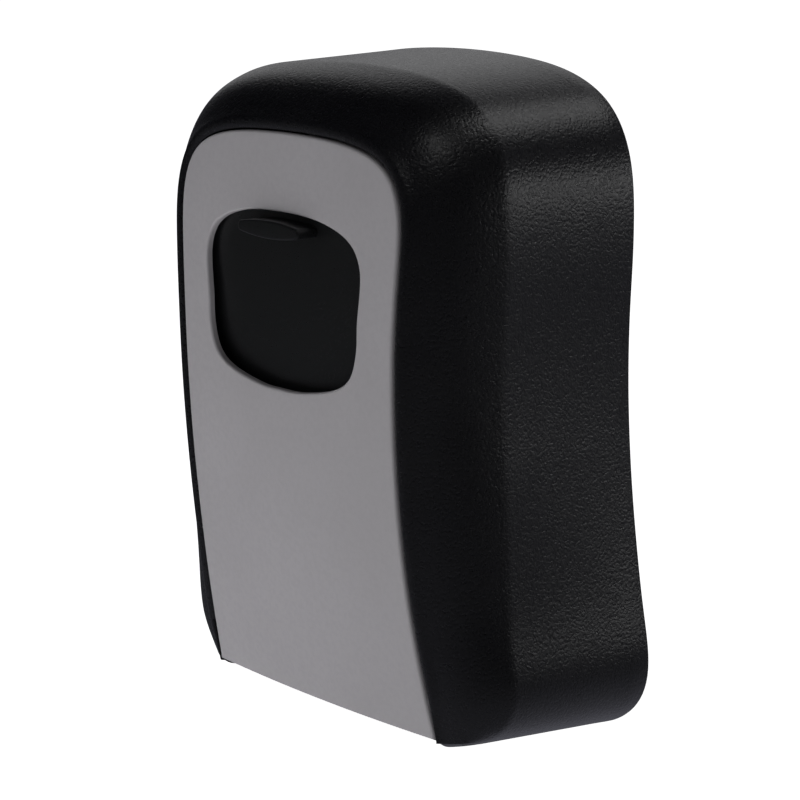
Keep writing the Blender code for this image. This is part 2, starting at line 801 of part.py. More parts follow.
def cut_housing_openings(housing, cutters):
    reach = MASK_BACK - DIAL_AXIS_DEPTH
    slot = math.sqrt((DIAL_RADIUS + 0.5 * MM) ** 2 - reach**2)
    for i in range(DIALS):
        x = dial_x(i)
        wide = DIAL_WIDTH / 2 + 0.4 * MM
        cut(
            housing,
            box(
                f"dial_slot_{i + 1}",
                (x - wide, x + wide),
                (MASK_BACK - 1 * MM, MASK_FRONT + 1 * MM),
                (DIAL_HEIGHT - slot, DIAL_HEIGHT + slot),
                cutters,
            ),
        )
    stem = stem_box()
    cut(
        housing,
        box(
            "lever_slot",
            (stem[0][0] - 0.4 * MM, stem[0][1] + 0.4 * MM),
            (MASK_BACK - 1 * MM, MASK_FRONT + 1 * MM),
            (stem[2][0] - LATCH_TRAVEL - 0.4 * MM, stem[2][1] + 0.4 * MM),
            cutters,
        ),
    )
    depth = tongue_depths()
    cut(
        housing,
        box(
            "tongue_slot",
            (-TONGUE_HALF - 0.4 * MM, TONGUE_HALF + 0.4 * MM),
            (depth[0] - 0.4 * MM, depth[1] + 0.4 * MM),
            (HOUSING_TOP - 2 * HOUSING_WALL, HOUSING_TOP + 1 * MM),
            cutters,
        ),
    )
    axle = cylinder(
        "axle_way",
        at(-HOUSING_HALF - 1 * MM, DIAL_AXIS_DEPTH, DIAL_HEIGHT),
        at(HOUSING_HALF + 1 * MM, DIAL_AXIS_DEPTH, DIAL_HEIGHT),
        AXLE_RADIUS + FIT,
        cutters,
    )
    cut(housing, axle)
    for x, z, label in post_places():
        hole = cylinder(
            "mask_hole_" + label,
            at(x, MASK_FRONT - 4 * MM, z),
            at(x, MASK_FRONT + 1 * MM, z),
            SCREW_SHANK + FIT,
            cutters,
            segments=16,
        )
        cut(housing, hole)


def build_cover(parts, cutters, coat):
    inset = 0.4 * MM
    back = HOUSING_BACK - FIT - COVER_THICKNESS
    cover = box(
        "back_cover",
        (-HOUSING_HALF + inset, HOUSING_HALF - inset),
        (back, back + COVER_THICKNESS),
        (HOUSING_BOTTOM + inset, HOUSING_TOP - inset),
        parts,
        coat,
        bevel=0.3 * MM,
    )
    for x, z, label in cover_screw_places():
        hole = cylinder(
            "cover_hole_" + label,
            at(x, back - 1 * MM, z),
            at(x, back + COVER_THICKNESS + 1 * MM, z),
            SCREW_SHANK + FIT,
            cutters,
            segments=16,
        )
        cut(cover, hole)
    tab = reset_tab_box()
    slot = box(
        "reset_slot",
        (tab[0][0] - 0.4 * MM, tab[0][1] + RESET_TRAVEL + 0.4 * MM),
        (back - 1 * MM, back + COVER_THICKNESS + 1 * MM),
        (tab[2][0] - 0.4 * MM, tab[2][1] + 0.4 * MM),
        cutters,
    )
    cut(cover, slot)
    return cover


def screw_profile(length):
    head = 1.3 * MM
    return [
        (0.0, head),
        (SCREW_HEAD * 0.8, head),
        (SCREW_HEAD, head * 0.6),
        (SCREW_HEAD, 0.0),
        (SCREW_SHANK, 0.0),
        (SCREW_SHANK, -length + 0.5 * MM),
        (SCREW_SHANK * 0.5, -length),
        (0.0, -length),
    ]


def build_screw(name, place, length, parts, cutters, coat):
    """A pan-head screw whose head faces the wall side, with a cross recess."""
    screw = turned(name, screw_profile(length), place, (0, 1, 0), parts, coat, steps=20)
    for i, (wide, tall) in enumerate(((2.2 * MM, 0.6 * MM), (0.6 * MM, 2.2 * MM))):
        bm = bmesh.new()
        bmesh.ops.create_cube(bm, size=1.0)
        bmesh.ops.scale(bm, vec=(wide, 1.4 * MM, tall), verts=bm.verts)
        mesh = bpy.data.meshes.new(f"{name}_slot_{i}")
        bm.to_mesh(mesh)
        bm.free()
        slot = new_object(f"{name}_slot_{i}", mesh, cutters)
        slot.location = place + Vector((0, 1.3 * MM, 0))
        cut(screw, slot)
    return screw


def build_screws(parts, cutters, coat):
    made = []
    back = HOUSING_BACK - FIT - COVER_THICKNESS
    for x, z, label in cover_screw_places():
        place = at(x, back - FIT, z)
        made.append(build_screw("cover_screw_" + label, place, 6.0 * MM, parts, cutters, coat))
    for x, z, label in post_places():
        seat = MASK_BACK if z == POST_HIGH else MASK_FRONT - 2.0 * MM
        place = at(x, seat - FIT, z)
        made.append(build_screw("panel_screw_" + label, place, 4.0 * MM, parts, cutters, coat))
    return made


def build_pins(parts, coat):
    made = []
    for side, name in ((-1, "left"), (1, "right")):
        end = pin_end() - FIT
        start = at(side * (end - HINGE_PIN_LENGTH), HINGE_DEPTH, HINGE_HEIGHT)
        stop = at(side * end, HINGE_DEPTH, HINGE_HEIGHT)
        pin = cylinder("hinge_pin_" + name, start, stop, HINGE_PIN_RADIUS, parts, coat, segments=24)
        made.append(pin)
    return made


# ---------------------------------------------------------------- shutter


def shutter_front(x, height):
    above = height - SHUTTER_MIDDLE
    middle = front(0, SHUTTER_MIDDLE) - SHUTTER_RECESS
    crown = SHUTTER_CROWN * above**2
    return middle + SHUTTER_LEAN * above - crown - FRONT_ROLL * (x / ROLL_AT) ** 2


def build_shutter(parts, cutters, coat):
    """A thin curved plate with a finger tab near its top."""
    columns = 22
    rows = 14
    bm = bmesh.new()
    bmesh.ops.create_grid(bm, x_segments=columns, y_segments=rows, size=1.0)
    tall = (SHUTTER_TOP - SHUTTER_BOTTOM) / 2
    for vert in bm.verts:
        x = vert.co.x * SHUTTER_HALF
        height = SHUTTER_MIDDLE + vert.co.y * tall
        vert.co = at(x, shutter_front(x, height), height)
    mesh = bpy.data.meshes.new("shutter")
    bm.to_mesh(mesh)
    bm.free()
    smooth_shade(mesh)
    shutter = new_object("shutter", mesh, parts, coat)
    solid = shutter.modifiers.new("sheet", "SOLIDIFY")
    solid.thickness = SHUTTER_THICKNESS
    solid.offset = -1.0
    solid.use_even_offset = True
    add(shutter, tab_solid(cutters))
    return shutter


def tab_outline(grow=0.0):
    """A flat lens with blunt ends."""
    points = []
    steps = 12
    end = TAB_END_HEIGHT / 2
    arch = (TAB_HEIGHT - TAB_END_HEIGHT) / 2
    middle = WINDOW_TOP - TAB_BELOW_WINDOW_TOP
    reach = TAB_HALF - end * 0.8
    for i in range(steps + 1):
        x = reach * (1 - 2 * i / steps)
        points.append((x, end + arch * (1 - (x / reach) ** 2)))
    for i in range(1, 6):
        angle = math.pi / 2 + math.pi * i / 6
        points.append((-reach + end * 0.8 * math.cos(angle), end * math.sin(angle)))
    for i in range(steps + 1):
        x = -reach * (1 - 2 * i / steps)
        points.append((x, -end - arch * (1 - (x / reach) ** 2)))
    for i in range(1, 6):
        angle = -math.pi / 2 + math.pi * i / 6
        points.append((reach + end * 0.8 * math.cos(angle), end * math.sin(angle)))
    scale = 1 + grow / (TAB_HEIGHT / 2)
    return [(x * (1 + grow / TAB_HALF), middle - CASE_HEIGHT / 2 + z * scale) for x, z in points]


def tab_solid(cutters):
    middle = WINDOW_TOP - TAB_BELOW_WINDOW_TOP
    outer = front(0, middle) + TAB_STANDS_OUT
    root = shutter_front(0, middle) - SHUTTER_THICKNESS * 0.6
    placing = frame((0, -(outer + root) / 2, 0), *FACING)
    tab = flat("finger_tab", [tab_outline()], outer - root, placing, cutters)
    add_bevel(tab, 0.35 * MM)
    return tab


# ---------------------------------------------------------------- dials and code rings


def dial_x(i):
    return (i - (DIALS - 1) / 2) * DIAL_PITCH


def dial_outline():
    """Ten shallow flats with a groove between them."""
    points = []
    per_digit = 6
    for i in range(DIGITS * per_digit):
        angle = 2 * math.pi * i / (DIGITS * per_digit)
        phase = (i % per_digit) / per_digit
        near = min(phase, 1 - phase)
        dip = DIAL_GROOVE if near < 0.01 else (DIAL_GROOVE * 0.25 if near < 0.17 else 0.0)
        turn = angle + math.pi / DIGITS
        radius = DIAL_RADIUS - dip
        points.append((radius * math.cos(turn), radius * math.sin(turn)))
    return points


def spline_outline(root, tip):
    """Ten square teeth."""
    points = []
    for i in range(DIGITS):
        middle = 2 * math.pi * i / DIGITS
        for share, radius in ((-0.25, root), (-0.13, tip), (0.13, tip), (0.25, root)):
            angle = middle + share * 2 * math.pi / DIGITS
            points.append((radius * math.cos(angle), radius * math.sin(angle)))
    return points


def build_dial(i, parts, cutters, coat):
    """A dial whose bore is toothed at its right end only, so that its ring can slide out of step with it."""
    centre = at(dial_x(i), DIAL_AXIS_DEPTH, DIAL_HEIGHT)
    placing = frame(centre, *ACROSS)
    name = f"dial_{i + 1}"
    dial = flat(name, [dial_outline()], DIAL_WIDTH, placing, parts, coat)
    add_bevel(dial, 0.3 * MM, 1)
    toothed = spline_outline(SPLINE_ROOT + SPLINE_FIT, SPLINE_TIP + SPLINE_FIT)
    bore = flat(name + "_teeth", [toothed], DIAL_WIDTH + 2 * MM, placing, cutters)
    right = Vector((1, 0, 0))
    start = centre - right * (DIAL_WIDTH / 2 + 1.5 * MM)
    end = centre + right * (DIAL_WIDTH / 2 - SPLINE_LENGTH - FIT)
    wide = cylinder(name + "_bore", start, end, SPLINE_TIP + SPLINE_FIT + 0.1 * MM, cutters)
    cut(dial, bore, wide)
    return dial


def build_ring(i, parts, cutters, coat):
    """A code ring: a gated flange beside the dial and a toothed sleeve inside it."""
    centre = at(dial_x(i), DIAL_AXIS_DEPTH, DIAL_HEIGHT)
    name = f"code_ring_{i + 1}"
    inner = AXLE_RADIUS + 0.35 * MM
    outer_end = FLANGE_START + FLANGE_THICKNESS
    left_end = -DIAL_WIDTH / 2 + 0.3 * MM
    sleeve = SPLINE_ROOT - 0.2 * MM
    profile = [
        (FLANGE_RADIUS, outer_end),
        (FLANGE_RADIUS, FLANGE_START),
        (sleeve, FLANGE_START),
        (sleeve, left_end),
        (inner, left_end),
        (inner, outer_end),
    ]
    ring = turned(name, profile, centre, (1, 0, 0), parts, coat, steps=36)
    tooth_start = DIAL_WIDTH / 2 - SPLINE_LENGTH
    tooth_end = FLANGE_START + FLANGE_THICKNESS / 2
    middle = centre + Vector(((tooth_start + tooth_end) / 2, 0, 0))
    teeth_shape = [spline_outline(SPLINE_ROOT, SPLINE_TIP), circle(sleeve - 0.3 * MM, 24)]
    teeth = flat(name + "_teeth", teeth_shape, tooth_end - tooth_start, frame(middle, *ACROSS), cutters)
    add(ring, teeth)
    gate_x = dial_x(i) + FLANGE_MIDDLE
    gate = box(
        name + "_gate",
        (gate_x - FLANGE_THICKNESS, gate_x + FLANGE_THICKNESS),
        (DIAL_AXIS_DEPTH - GATE_WIDTH / 2, DIAL_AXIS_DEPTH + GATE_WIDTH / 2),
        (DIAL_HEIGHT + GATE_FLOOR, DIAL_HEIGHT + FLANGE_RADIUS + 1 * MM),
        cutters,
    )
    cut(ring, gate)
    return ring


def circle(radius, steps):
    return [
        (radius * math.cos(2 * math.pi * k / steps), radius * math.sin(2 * math.pi * k / steps))
        for k in range(steps)
    ]


def build_axle(parts, coat):
    half = HOUSING_HALF - FIT
    start = at(-half, DIAL_AXIS_DEPTH, DIAL_HEIGHT)
    end = at(half, DIAL_AXIS_DEPTH, DIAL_HEIGHT)
    return cylinder("dial_axle", start, end, AXLE_RADIUS, parts, coat, segments=28)


def build_detent(parts, cutters, coat):
    """A sheet spring with one leaf for each dial."""
    floor = HOUSING_BOTTOM + HOUSING_WALL + FIT
    depth = DIAL_AXIS_DEPTH - 5.2 * MM
    sheet = 0.4 * MM
    reach = dial_x(DIALS - 1) + DIAL_WIDTH / 2
    detent = box("detent_spring", (-reach, reach), (depth, depth + sheet), (floor, floor + 6 * MM), parts, coat)
    foot = box(
        "detent_foot",
        (-reach, reach),
        (depth - 3.6 * MM, depth + sheet / 2),
        (floor, floor + sheet),
        cutters,
    )
    add(detent, foot)
    nose_depth = depth + 1.2 * MM
    under = DIAL_HEIGHT - math.sqrt((DIAL_RADIUS + 0.45 * MM) ** 2 - (DIAL_AXIS_DEPTH - nose_depth - sheet) ** 2)
    leaf = [
        (depth, floor + 5 * MM),
        (depth + sheet, floor + 5 * MM),
        (depth + sheet, under - 3 * MM),
        (nose_depth + sheet, under - 0.3 * MM),
        (nose_depth, under),
        (depth, under - 2.8 * MM),
    ]
    for i in range(DIALS):
        edges = (dial_x(i) - DIAL_WIDTH * 0.34, dial_x(i) + DIAL_WIDTH * 0.34)
        add(detent, side_profile(f"leaf_{i + 1}", leaf, edges, cutters))
    return detent


# ---------------------------------------------------------------- latch and reset


def tongue_depths():
    middle = DIAL_AXIS_DEPTH - 0.1 * MM
    return (middle - 0.9 * MM, middle + 0.9 * MM)


def tongue_front():
    return tongue_depths()[1]


def stem_box():
    low = LATCH_BAR_TOP + 0.5 * MM
    return ((-4 * MM, 4 * MM), (MASK_BACK - 0.8 * MM, MASK_FRONT + 0.9 * MM), (low, low + 2.4 * MM))


def tongue_outline():
    """The tongue's back is sloped, so that it rides down when the door is pushed shut."""
    back, ahead = tongue_depths()
    low = LATCH_WEB + LATCH_SHEET / 2
    return [(back, low), (back, TONGUE_TOP - 1.5 * MM), (ahead - 0.5 * MM, TONGUE_TOP), (ahead, TONGUE_TOP), (ahead, low)]


def build_latch(parts, cutters, coat):
    """The sliding frame: a top web with the tongue and the fence fingers, two slotted sides and a bottom bar."""
    web_depths = (DIAL_AXIS_DEPTH - 1.8 * MM, DIAL_AXIS_DEPTH + 1.8 * MM)
    web = (LATCH_WEB, LATCH_WEB + LATCH_SHEET)
    latch = box("latch_plate", (-LATCH_SIDE, LATCH_SIDE), web_depths, web, parts, coat)
    add(latch, side_profile("tongue", tongue_outline(), (-TONGUE_HALF, TONGUE_HALF), cutters))
    sheet = LATCH_SHEET - 0.2 * MM
    sides = (DIAL_AXIS_DEPTH - 3.2 * MM, DIAL_AXIS_DEPTH + 3.2 * MM)
    heights = (LATCH_BAR, LATCH_WEB + LATCH_SHEET)
    for side, name in ((-1, "left"), (1, "right")):
        edges = sorted((side * LATCH_SIDE, side * (LATCH_SIDE - sheet)))
        add(latch, box("latch_side_" + name, edges, sides, heights, cutters))
    bar = (LATCH_BAR_DEPTH, LATCH_BAR_DEPTH + LATCH_SHEET)
    add(latch, box("latch_bar", (-LATCH_SIDE, LATCH_SIDE), bar, (LATCH_BAR, LATCH_BAR_TOP), cutters))
    foot = (DIAL_AXIS_DEPTH - 2.6 * MM, LATCH_BAR_DEPTH + LATCH_SHEET / 2)
    add(latch, box("spring_seat", (-LATCH_SIDE, LATCH_SIDE), foot, (LATCH_BAR, LATCH_BAR + 1.2 * MM), cutters))
    for i in range(DIALS):
        middle = dial_x(i) + FLANGE_MIDDLE
        finger = box(
            f"fence_{i + 1}",
            (middle - FLANGE_THICKNESS / 2, middle + FLANGE_THICKNESS / 2),
            (DIAL_AXIS_DEPTH - FENCE_WIDTH / 2, DIAL_AXIS_DEPTH + FENCE_WIDTH / 2),
            (FENCE_TIP, LATCH_WEB + LATCH_SHEET / 2),
            cutters,
        )
        add(latch, finger)
    cut(latch, axle_slot(cutters))
    return latch


def axle_slot(cutters):
    """Clears the axle over the latch's whole travel."""
    wide = AXLE_RADIUS + 0.4 * MM
    return box(
        "axle_slot",
        (-HOUSING_HALF, HOUSING_HALF),
        (DIAL_AXIS_DEPTH - wide, DIAL_AXIS_DEPTH + wide),
        (DIAL_HEIGHT - wide, DIAL_HEIGHT + wide + LATCH_TRAVEL),
        cutters,
    )


def build_lever(parts, cutters, coat):
    """The release lever: a leg in front of the latch bar, a stem through the mask and a ribbed knob."""
    stem = stem_box()
    leg_back = LATCH_BAR_DEPTH + LATCH_SHEET + FIT
    knob_back = MASK_FRONT + 0.6 * MM
    knob_low = stem[2][0] + 0.5 * MM
    lever = box(
        "release_lever",
        (-LEVER_HALF, LEVER_HALF),
        (knob_back, knob_back + 1.4 * MM),
        (knob_low, knob_low + 4.4 * MM),
        parts,
        coat,
        bevel=0.35 * MM,
    )
    add(lever, box("lever_stem", *stem, cutters))
    leg = (leg_back, MASK_BACK - FIT)
    add(lever, box("lever_leg", (-5 * MM, 5 * MM), leg, (LATCH_BAR, stem[2][1]), cutters))
    return lever


def build_spring(name, x, parts, coat):
    """A compression spring between the housing's floor and the latch."""
    low = HOUSING_BOTTOM + HOUSING_WALL + FIT + SPRING_WIRE
    high = LATCH_BAR - FIT - SPRING_WIRE
    steps = SPRING_TURNS * 12
    curve = bpy.data.curves.new(name, "CURVE")
    curve.dimensions = "3D"
    curve.bevel_depth = SPRING_WIRE
    curve.bevel_resolution = 1
    curve.use_fill_caps = True
    spline = curve.splines.new("POLY")
    spline.points.add(steps)
    for i, point in enumerate(spline.points):
        angle = 2 * math.pi * i / 12
        rise = (high - low) * (i / steps - 0.5)
        point.co = (SPRING_RADIUS * math.cos(angle), SPRING_RADIUS * math.sin(angle), rise, 1.0)
    curve.materials.append(coat)
    spring = bpy.data.objects.new(name, curve)
    parts.objects.link(spring)
    spring.location = at(x, DIAL_AXIS_DEPTH, (low + high) / 2)
    return spring


def reset_tab_box():
    high = DIAL_HEIGHT - 9.5 * MM
    return ((-3 * MM, 3 * MM), (HOUSING_BACK - FIT - COVER_THICKNESS - 1.6 * MM, HOUSING_BACK + 0.7 * MM), (high - 4 * MM, high))


def build_reset(parts, cutters, coat):
    """The code-change slide: a bar behind the dials whose forks straddle the ring flanges."""
    plate = (HOUSING_BACK + 0.5 * MM, HOUSING_BACK + 1.7 * MM)
    low = DIAL_HEIGHT - 14.5 * MM
    high = DIAL_HEIGHT - 7.3 * MM
    left = dial_x(0) - DIAL_WIDTH / 2
    right = dial_x(DIALS - 1) + fork_starts()[1] + FORK_THICKNESS + FIT
    reset = box("reset_slide", (left, right), plate, (low, high), parts, coat)
    add(reset, box("reset_tab", *reset_tab_box(), cutters, bevel=0.3 * MM))
    fork = [
        (plate[0], DIAL_HEIGHT - 8.5 * MM),
        (plate[0] + 3.8 * MM, DIAL_HEIGHT - 8.5 * MM),
        (DIAL_AXIS_DEPTH - 4.5 * MM, DIAL_HEIGHT - 4.6 * MM),
        (DIAL_AXIS_DEPTH - 4.3 * MM, DIAL_HEIGHT - 1.0 * MM),
        (plate[0], DIAL_HEIGHT - 1.0 * MM),
    ]
    for i in range(DIALS):
        for k, start in enumerate(fork_starts()):
            edges = (dial_x(i) + start, dial_x(i) + start + FORK_THICKNESS)
            add(reset, side_profile(f"fork_{i + 1}_{k + 1}", fork, edges, cutters))
    return reset


def fork_starts():
    first = DIAL_WIDTH / 2 + FIT
    return (first, FLANGE_START + FLANGE_THICKNESS + FIT)


# ---------------------------------------------------------------- assembly


def joint_empty(name, place):
    made = bpy.data.objects.new(name, None)
    made.empty_display_size = 5 * MM
    bpy.context.scene.collection.objects.link(made)
    made.location = place
    return made


def ride(parent, *objects):
    bpy.context.view_layer.update()
    for obj in objects:
        obj.parent = parent
        obj.matrix_parent_inverse = parent.matrix_world.inverted()


def coats():
    return {
        "case": material("black_textured_casting", (0.013, 0.013, 0.014), 0.5, 0.0),
        "panel": material("grey_satin_panel", (0.225, 0.222, 0.235), 0.42, 0.0),
        "shutter": material("black_satin_plastic", (0.011, 0.011, 0.012), 0.38, 0.0),
        "housing": material("dark_casting", (0.03, 0.03, 0.032), 0.5, 0.6),
        "dial": material("dial_black", (0.015, 0.015, 0.016), 0.35, 0.0),
        "ring": material("brass_ring", (0.55, 0.40, 0.16), 0.3, 1.0),
        "steel": material("zinc_plated_steel", (0.58, 0.58, 0.6), 0.3, 1.0),
        "lever": material("lever_black", (0.014, 0.014, 0.015), 0.4, 0.0),
        "cover": material("cover_sheet", (0.38, 0.385, 0.39), 0.42, 1.0),
        "slide": material("reset_slide_grey", (0.5, 0.5, 0.52), 0.35, 1.0),
    }


def main():
    clear_scene()
    parts = new_collection("key_lock_box")
    cutters = new_collection("cutters", hidden=True)
    coat = coats()
    build_case(parts, cutters, coat["case"])
    build_pins(parts, coat["steel"])
    panel = build_panel(parts, cutters, coat["panel"])
    housing = build_housing(parts, cutters, coat["housing"])
    cover = build_cover(parts, cutters, coat["cover"])
    screws = build_screws(parts, cutters, coat["steel"])
    shutter = build_shutter(parts, cutters, coat["shutter"])
    axle = build_axle(parts, coat["steel"])
    detent = build_detent(parts, cutters, coat["steel"])
    latch = build_latch(parts, cutters, coat["steel"])
    lever = build_lever(parts, cutters, coat["lever"])
    springs = [build_spring("latch_spring_left", -SPRING_X, parts, coat["steel"])]
    springs.append(build_spring("latch_spring_right", SPRING_X, parts, coat["steel"]))
    reset = build_reset(parts, cutters, coat["slide"])
    door = joint_empty("door_hinge_axis", at(0, HINGE_DEPTH, HINGE_HEIGHT))
    ride(door, panel, housing, cover, axle, detent, *screws, *springs, shutter, latch, lever, reset)
    for i in range(DIALS):
        dial = build_dial(i, parts, cutters, coat["dial"])
        ring = build_ring(i, parts, cutters, coat["ring"])
        ride(door, dial)
        ride(dial, ring)


main()
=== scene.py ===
"""Looks of the key lock box: textured black case, grey door panel, satin shutter and the lock behind it.

Metres, +Z up, the front faces -Y. Depths are measured from the wall plane (y = 0) and heights from the
bottom of the case.
"""

import math

import bmesh
import bpy
from mathutils import Matrix, Vector


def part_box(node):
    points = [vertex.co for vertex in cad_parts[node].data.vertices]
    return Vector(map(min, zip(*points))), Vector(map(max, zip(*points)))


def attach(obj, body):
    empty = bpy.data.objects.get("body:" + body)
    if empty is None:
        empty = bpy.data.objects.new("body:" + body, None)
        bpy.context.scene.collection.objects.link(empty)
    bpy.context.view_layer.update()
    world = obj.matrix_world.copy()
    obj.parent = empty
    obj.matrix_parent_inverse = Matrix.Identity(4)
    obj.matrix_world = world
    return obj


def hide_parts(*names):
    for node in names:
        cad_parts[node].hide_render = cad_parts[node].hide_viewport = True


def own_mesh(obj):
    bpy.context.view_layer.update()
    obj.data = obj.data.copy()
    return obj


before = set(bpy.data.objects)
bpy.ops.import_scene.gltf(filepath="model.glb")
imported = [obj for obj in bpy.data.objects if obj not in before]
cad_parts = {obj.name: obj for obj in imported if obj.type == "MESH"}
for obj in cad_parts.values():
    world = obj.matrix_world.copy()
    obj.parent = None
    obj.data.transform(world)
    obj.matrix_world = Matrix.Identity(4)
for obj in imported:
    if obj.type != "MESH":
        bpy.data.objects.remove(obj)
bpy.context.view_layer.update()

MM = 0.001

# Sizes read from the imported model
CASE_LOW, CASE_HIGH = (Vector(c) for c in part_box("case_body"))
PANEL_LOW, PANEL_HIGH = (Vector(c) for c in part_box("door_panel"))
SHUTTER_HIGH = Vector(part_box("shutter")[1])
HOUSING_HIGH = Vector(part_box("door_housing")[1])
BASE = CASE_LOW.z
CASE_HEIGHT = CASE_HIGH.z - CASE_LOW.z
CASE_WIDTH = CASE_HIGH.x - CASE_LOW.x
PANEL_HALF = PANEL_HIGH.x
PANEL_BOTTOM = PANEL_LOW.z - BASE
PANEL_TOP = PANEL_HIGH.z - BASE

# Case
CASE_WALL = 3.0 * MM
BACK_THICKNESS = 3.0 * MM
BACK_CHAMFER = 0.5 * MM
SHOULDER_DEPTH = 27.55 * MM
SHOULDER_ROUND = 0.8 * MM
DRAFT = 1.04 * MM
FOOT_TAPER = 3.1 * MM
FOOT_TAPER_FROM = 56.0 * MM
FOOT_TAPER_FULL = 18.0 * MM
SLOPE_BULGE = 1.7 * MM
RIM_WIDTH = 2.73 * MM
RIM_DROP = 0.67 * MM
RIM_LIP = 2.6 * MM
RIM_CORNER = 9.0 * MM
DOOR_GAP = 0.35 * MM

# Crowned front
FRONT_DEPTH = 43.3 * MM
FRONT_LEAN = 2.62 * MM
FRONT_CROWN = 5.93 * MM
FRONT_ROLL = 1.15 * MM
ROLL_AT = 30.0 * MM
PANEL_THICKNESS = 1.2 * MM
PANEL_EDGE = 0.5 * MM

# Window and shutter
WINDOW_TOP = PANEL_TOP - 13.5 * MM
WINDOW_HEIGHT = 31.0 * MM
WINDOW_BOTTOM = WINDOW_TOP - WINDOW_HEIGHT
WINDOW_HALF = 22.1 * MM
SHUTTER_HALF = SHUTTER_HIGH.x
SHUTTER_TOP = WINDOW_TOP + 1.3 * MM
SHUTTER_BOTTOM = WINDOW_BOTTOM - 1.3 * MM
SHUTTER_MIDDLE = (SHUTTER_TOP + SHUTTER_BOTTOM) / 2
SHUTTER_THICKNESS = 1.2 * MM
SHUTTER_RECESS = 2.3 * MM
SHUTTER_LEAN = 0.026
SHUTTER_CROWN = 1.5
TAB_HALF = 8.7 * MM
TAB_HEIGHT = 3.2 * MM
TAB_END_HEIGHT = 1.9 * MM
TAB_STANDS_OUT = 2.4 * MM
TAB_MIDDLE = WINDOW_TOP - 2.9 * MM

# Hinge, strike, mounting holes and panel posts
HINGE_DEPTH = 29.9 * MM
HINGE_HEIGHT = 6.6 * MM
PIN_BORE = 1.57 * MM
HEEL_RADIUS = 6.2 * MM
HEEL_CLEARANCE = 0.45 * MM
HEEL_HALF = PANEL_HALF - 3.1 * MM
LUG_RADIUS = 2.5 * MM
LUG_GAP = 0.5 * MM
STRIKE_HALF = 10.0 * MM
STRIKE_BACK = 30.4 * MM
MOUNT_X = 20.0 * MM
MOUNT_HEIGHTS = (30.0 * MM, 88.0 * MM)
MOUNT_RADIUS = 2.4 * MM
MOUNT_SINK_RADIUS = 4.6 * MM
POST_RADIUS = 2.0 * MM
POST_X = 18.0 * MM
POST_HEIGHTS = (PANEL_BOTTOM + 24.7 * MM, HOUSING_HIGH.z - BASE - 3.6 * MM)
MASK_FRONT = 36.8 * MM
POST_HOLE_RADIUS = 1.2 * MM

# Lock
NUMERAL_TALL = 4.3 * MM
NUMERAL_DEPTH = 0.05 * MM
LEVER_GROOVES = 5
LEVER_GROOVE_RADIUS = 0.24 * MM

# Half outlines as shares of half width and height, from the top centre down the right side
CASE_SHAPE = [
    (0.0, 1.0), (0.4294, 0.990), (0.680, 0.9625), (0.8153, 0.919), (0.884, 0.850), (0.8932, 0.745),
    (0.8768, 0.635), (0.876, 0.520), (0.8994, 0.390), (0.9497, 0.245), (0.9969, 0.150), (0.998, 0.115),
    (0.9692, 0.080), (0.8953, 0.048), (0.7598, 0.0215), (0.43, 0.004), (0.0, 0.0),
]
PANEL_SHAPE = [
    (0.0, 1.0), (0.435, 0.995), (0.708, 0.980), (0.863, 0.957), (0.943, 0.924), (0.978, 0.884),
    (0.983, 0.839), (0.969, 0.770), (0.949, 0.650), (0.940, 0.443), (0.949, 0.260), (0.978, 0.090),
    (1.0, 0.0),
]
WINDOW_SHAPE = [
    (0.0, 1.0), (0.394, 0.987), (0.665, 0.948), (0.837, 0.897), (0.941, 0.829), (0.993, 0.735),
    (0.991, 0.626), (0.962, 0.450), (0.952, 0.300), (0.869, 0.145), (0.660, 0.060), (0.267, 0.006),
    (0.0, 0.0),
]
LOOP_STEPS = 150
# The case's first rings, counted from the back, that close its outer body: up to the rim's second ring
OUTER_RINGS = 36

# Mesh helpers
SHARP_ANGLE = 0.6
FLAT_SHARP_ANGLE = 0.5
WELD = 1e-6

# Camera, fitted to the photograph's outline, and floor
AZIMUTH = math.radians(51.04)
ELEVATION = math.radians(11.45)
ROLL = math.radians(-0.34)
FOCAL_LENGTH = 118.9
SENSOR_WIDTH = 36.0
CAMERA_DISTANCE = 476 * MM
CAMERA_AIM = Vector((0, -18 * MM, 0))
AIM_RIGHT = 1.30 * MM
AIM_DOWN = 2.14 * MM
FLOOR_BELOW = 38 * MM
FLOOR_RADIUS = 12.0


# ---------------------------------------------------------------- placing and mesh helpers


def at(x, depth, height):
    return Vector((x, -depth, height + BASE))


def turned_to(origin, first, second):
    first = Vector(first)
    second = Vector(second)
    axes = Matrix((first, second, first.cross(second))).transposed().to_4x4()
    return Matrix.Translation(origin) @ axes


def shade(mesh, angle=SHARP_ANGLE):
    for face in mesh.polygons:
        face.use_smooth = True
    mesh.set_sharp_from_angle(angle=angle)


def new_object(name, mesh, coat=None):
    obj = bpy.data.objects.new(name, mesh)
    bpy.context.scene.collection.objects.link(obj)
    if coat:
        mesh.materials.clear()
        mesh.materials.append(coat)
    return obj


def from_bmesh(name, bm, coat=None, angle=SHARP_ANGLE):
    bmesh.ops.recalc_face_normals(bm, faces=bm.faces)
    mesh = bpy.data.meshes.new(name)
    bm.to_mesh(mesh)
    bm.free()
    shade(mesh, angle)
    return new_object(name, mesh, coat)


def loft(name, rings, coat=None, endless=False):
    """A skin over rings of equal length. Its ends are capped, or the last ring meets the first."""
    bm = bmesh.new()
    rows = [[bm.verts.new(point) for point in ring] for ring in rings]
    pairs = list(zip(rows, rows[1:]))
    if endless:
        pairs.append((rows[-1], rows[0]))
    for lower, upper in pairs:
        for i in range(len(lower)):
            j = (i + 1) % len(lower)
            bm.faces.new((lower[i], lower[j], upper[j], upper[i]))
    if not endless:
        bm.faces.new(list(reversed(rows[0])))
        bm.faces.new(rows[-1])
    return from_bmesh(name, bm, coat)


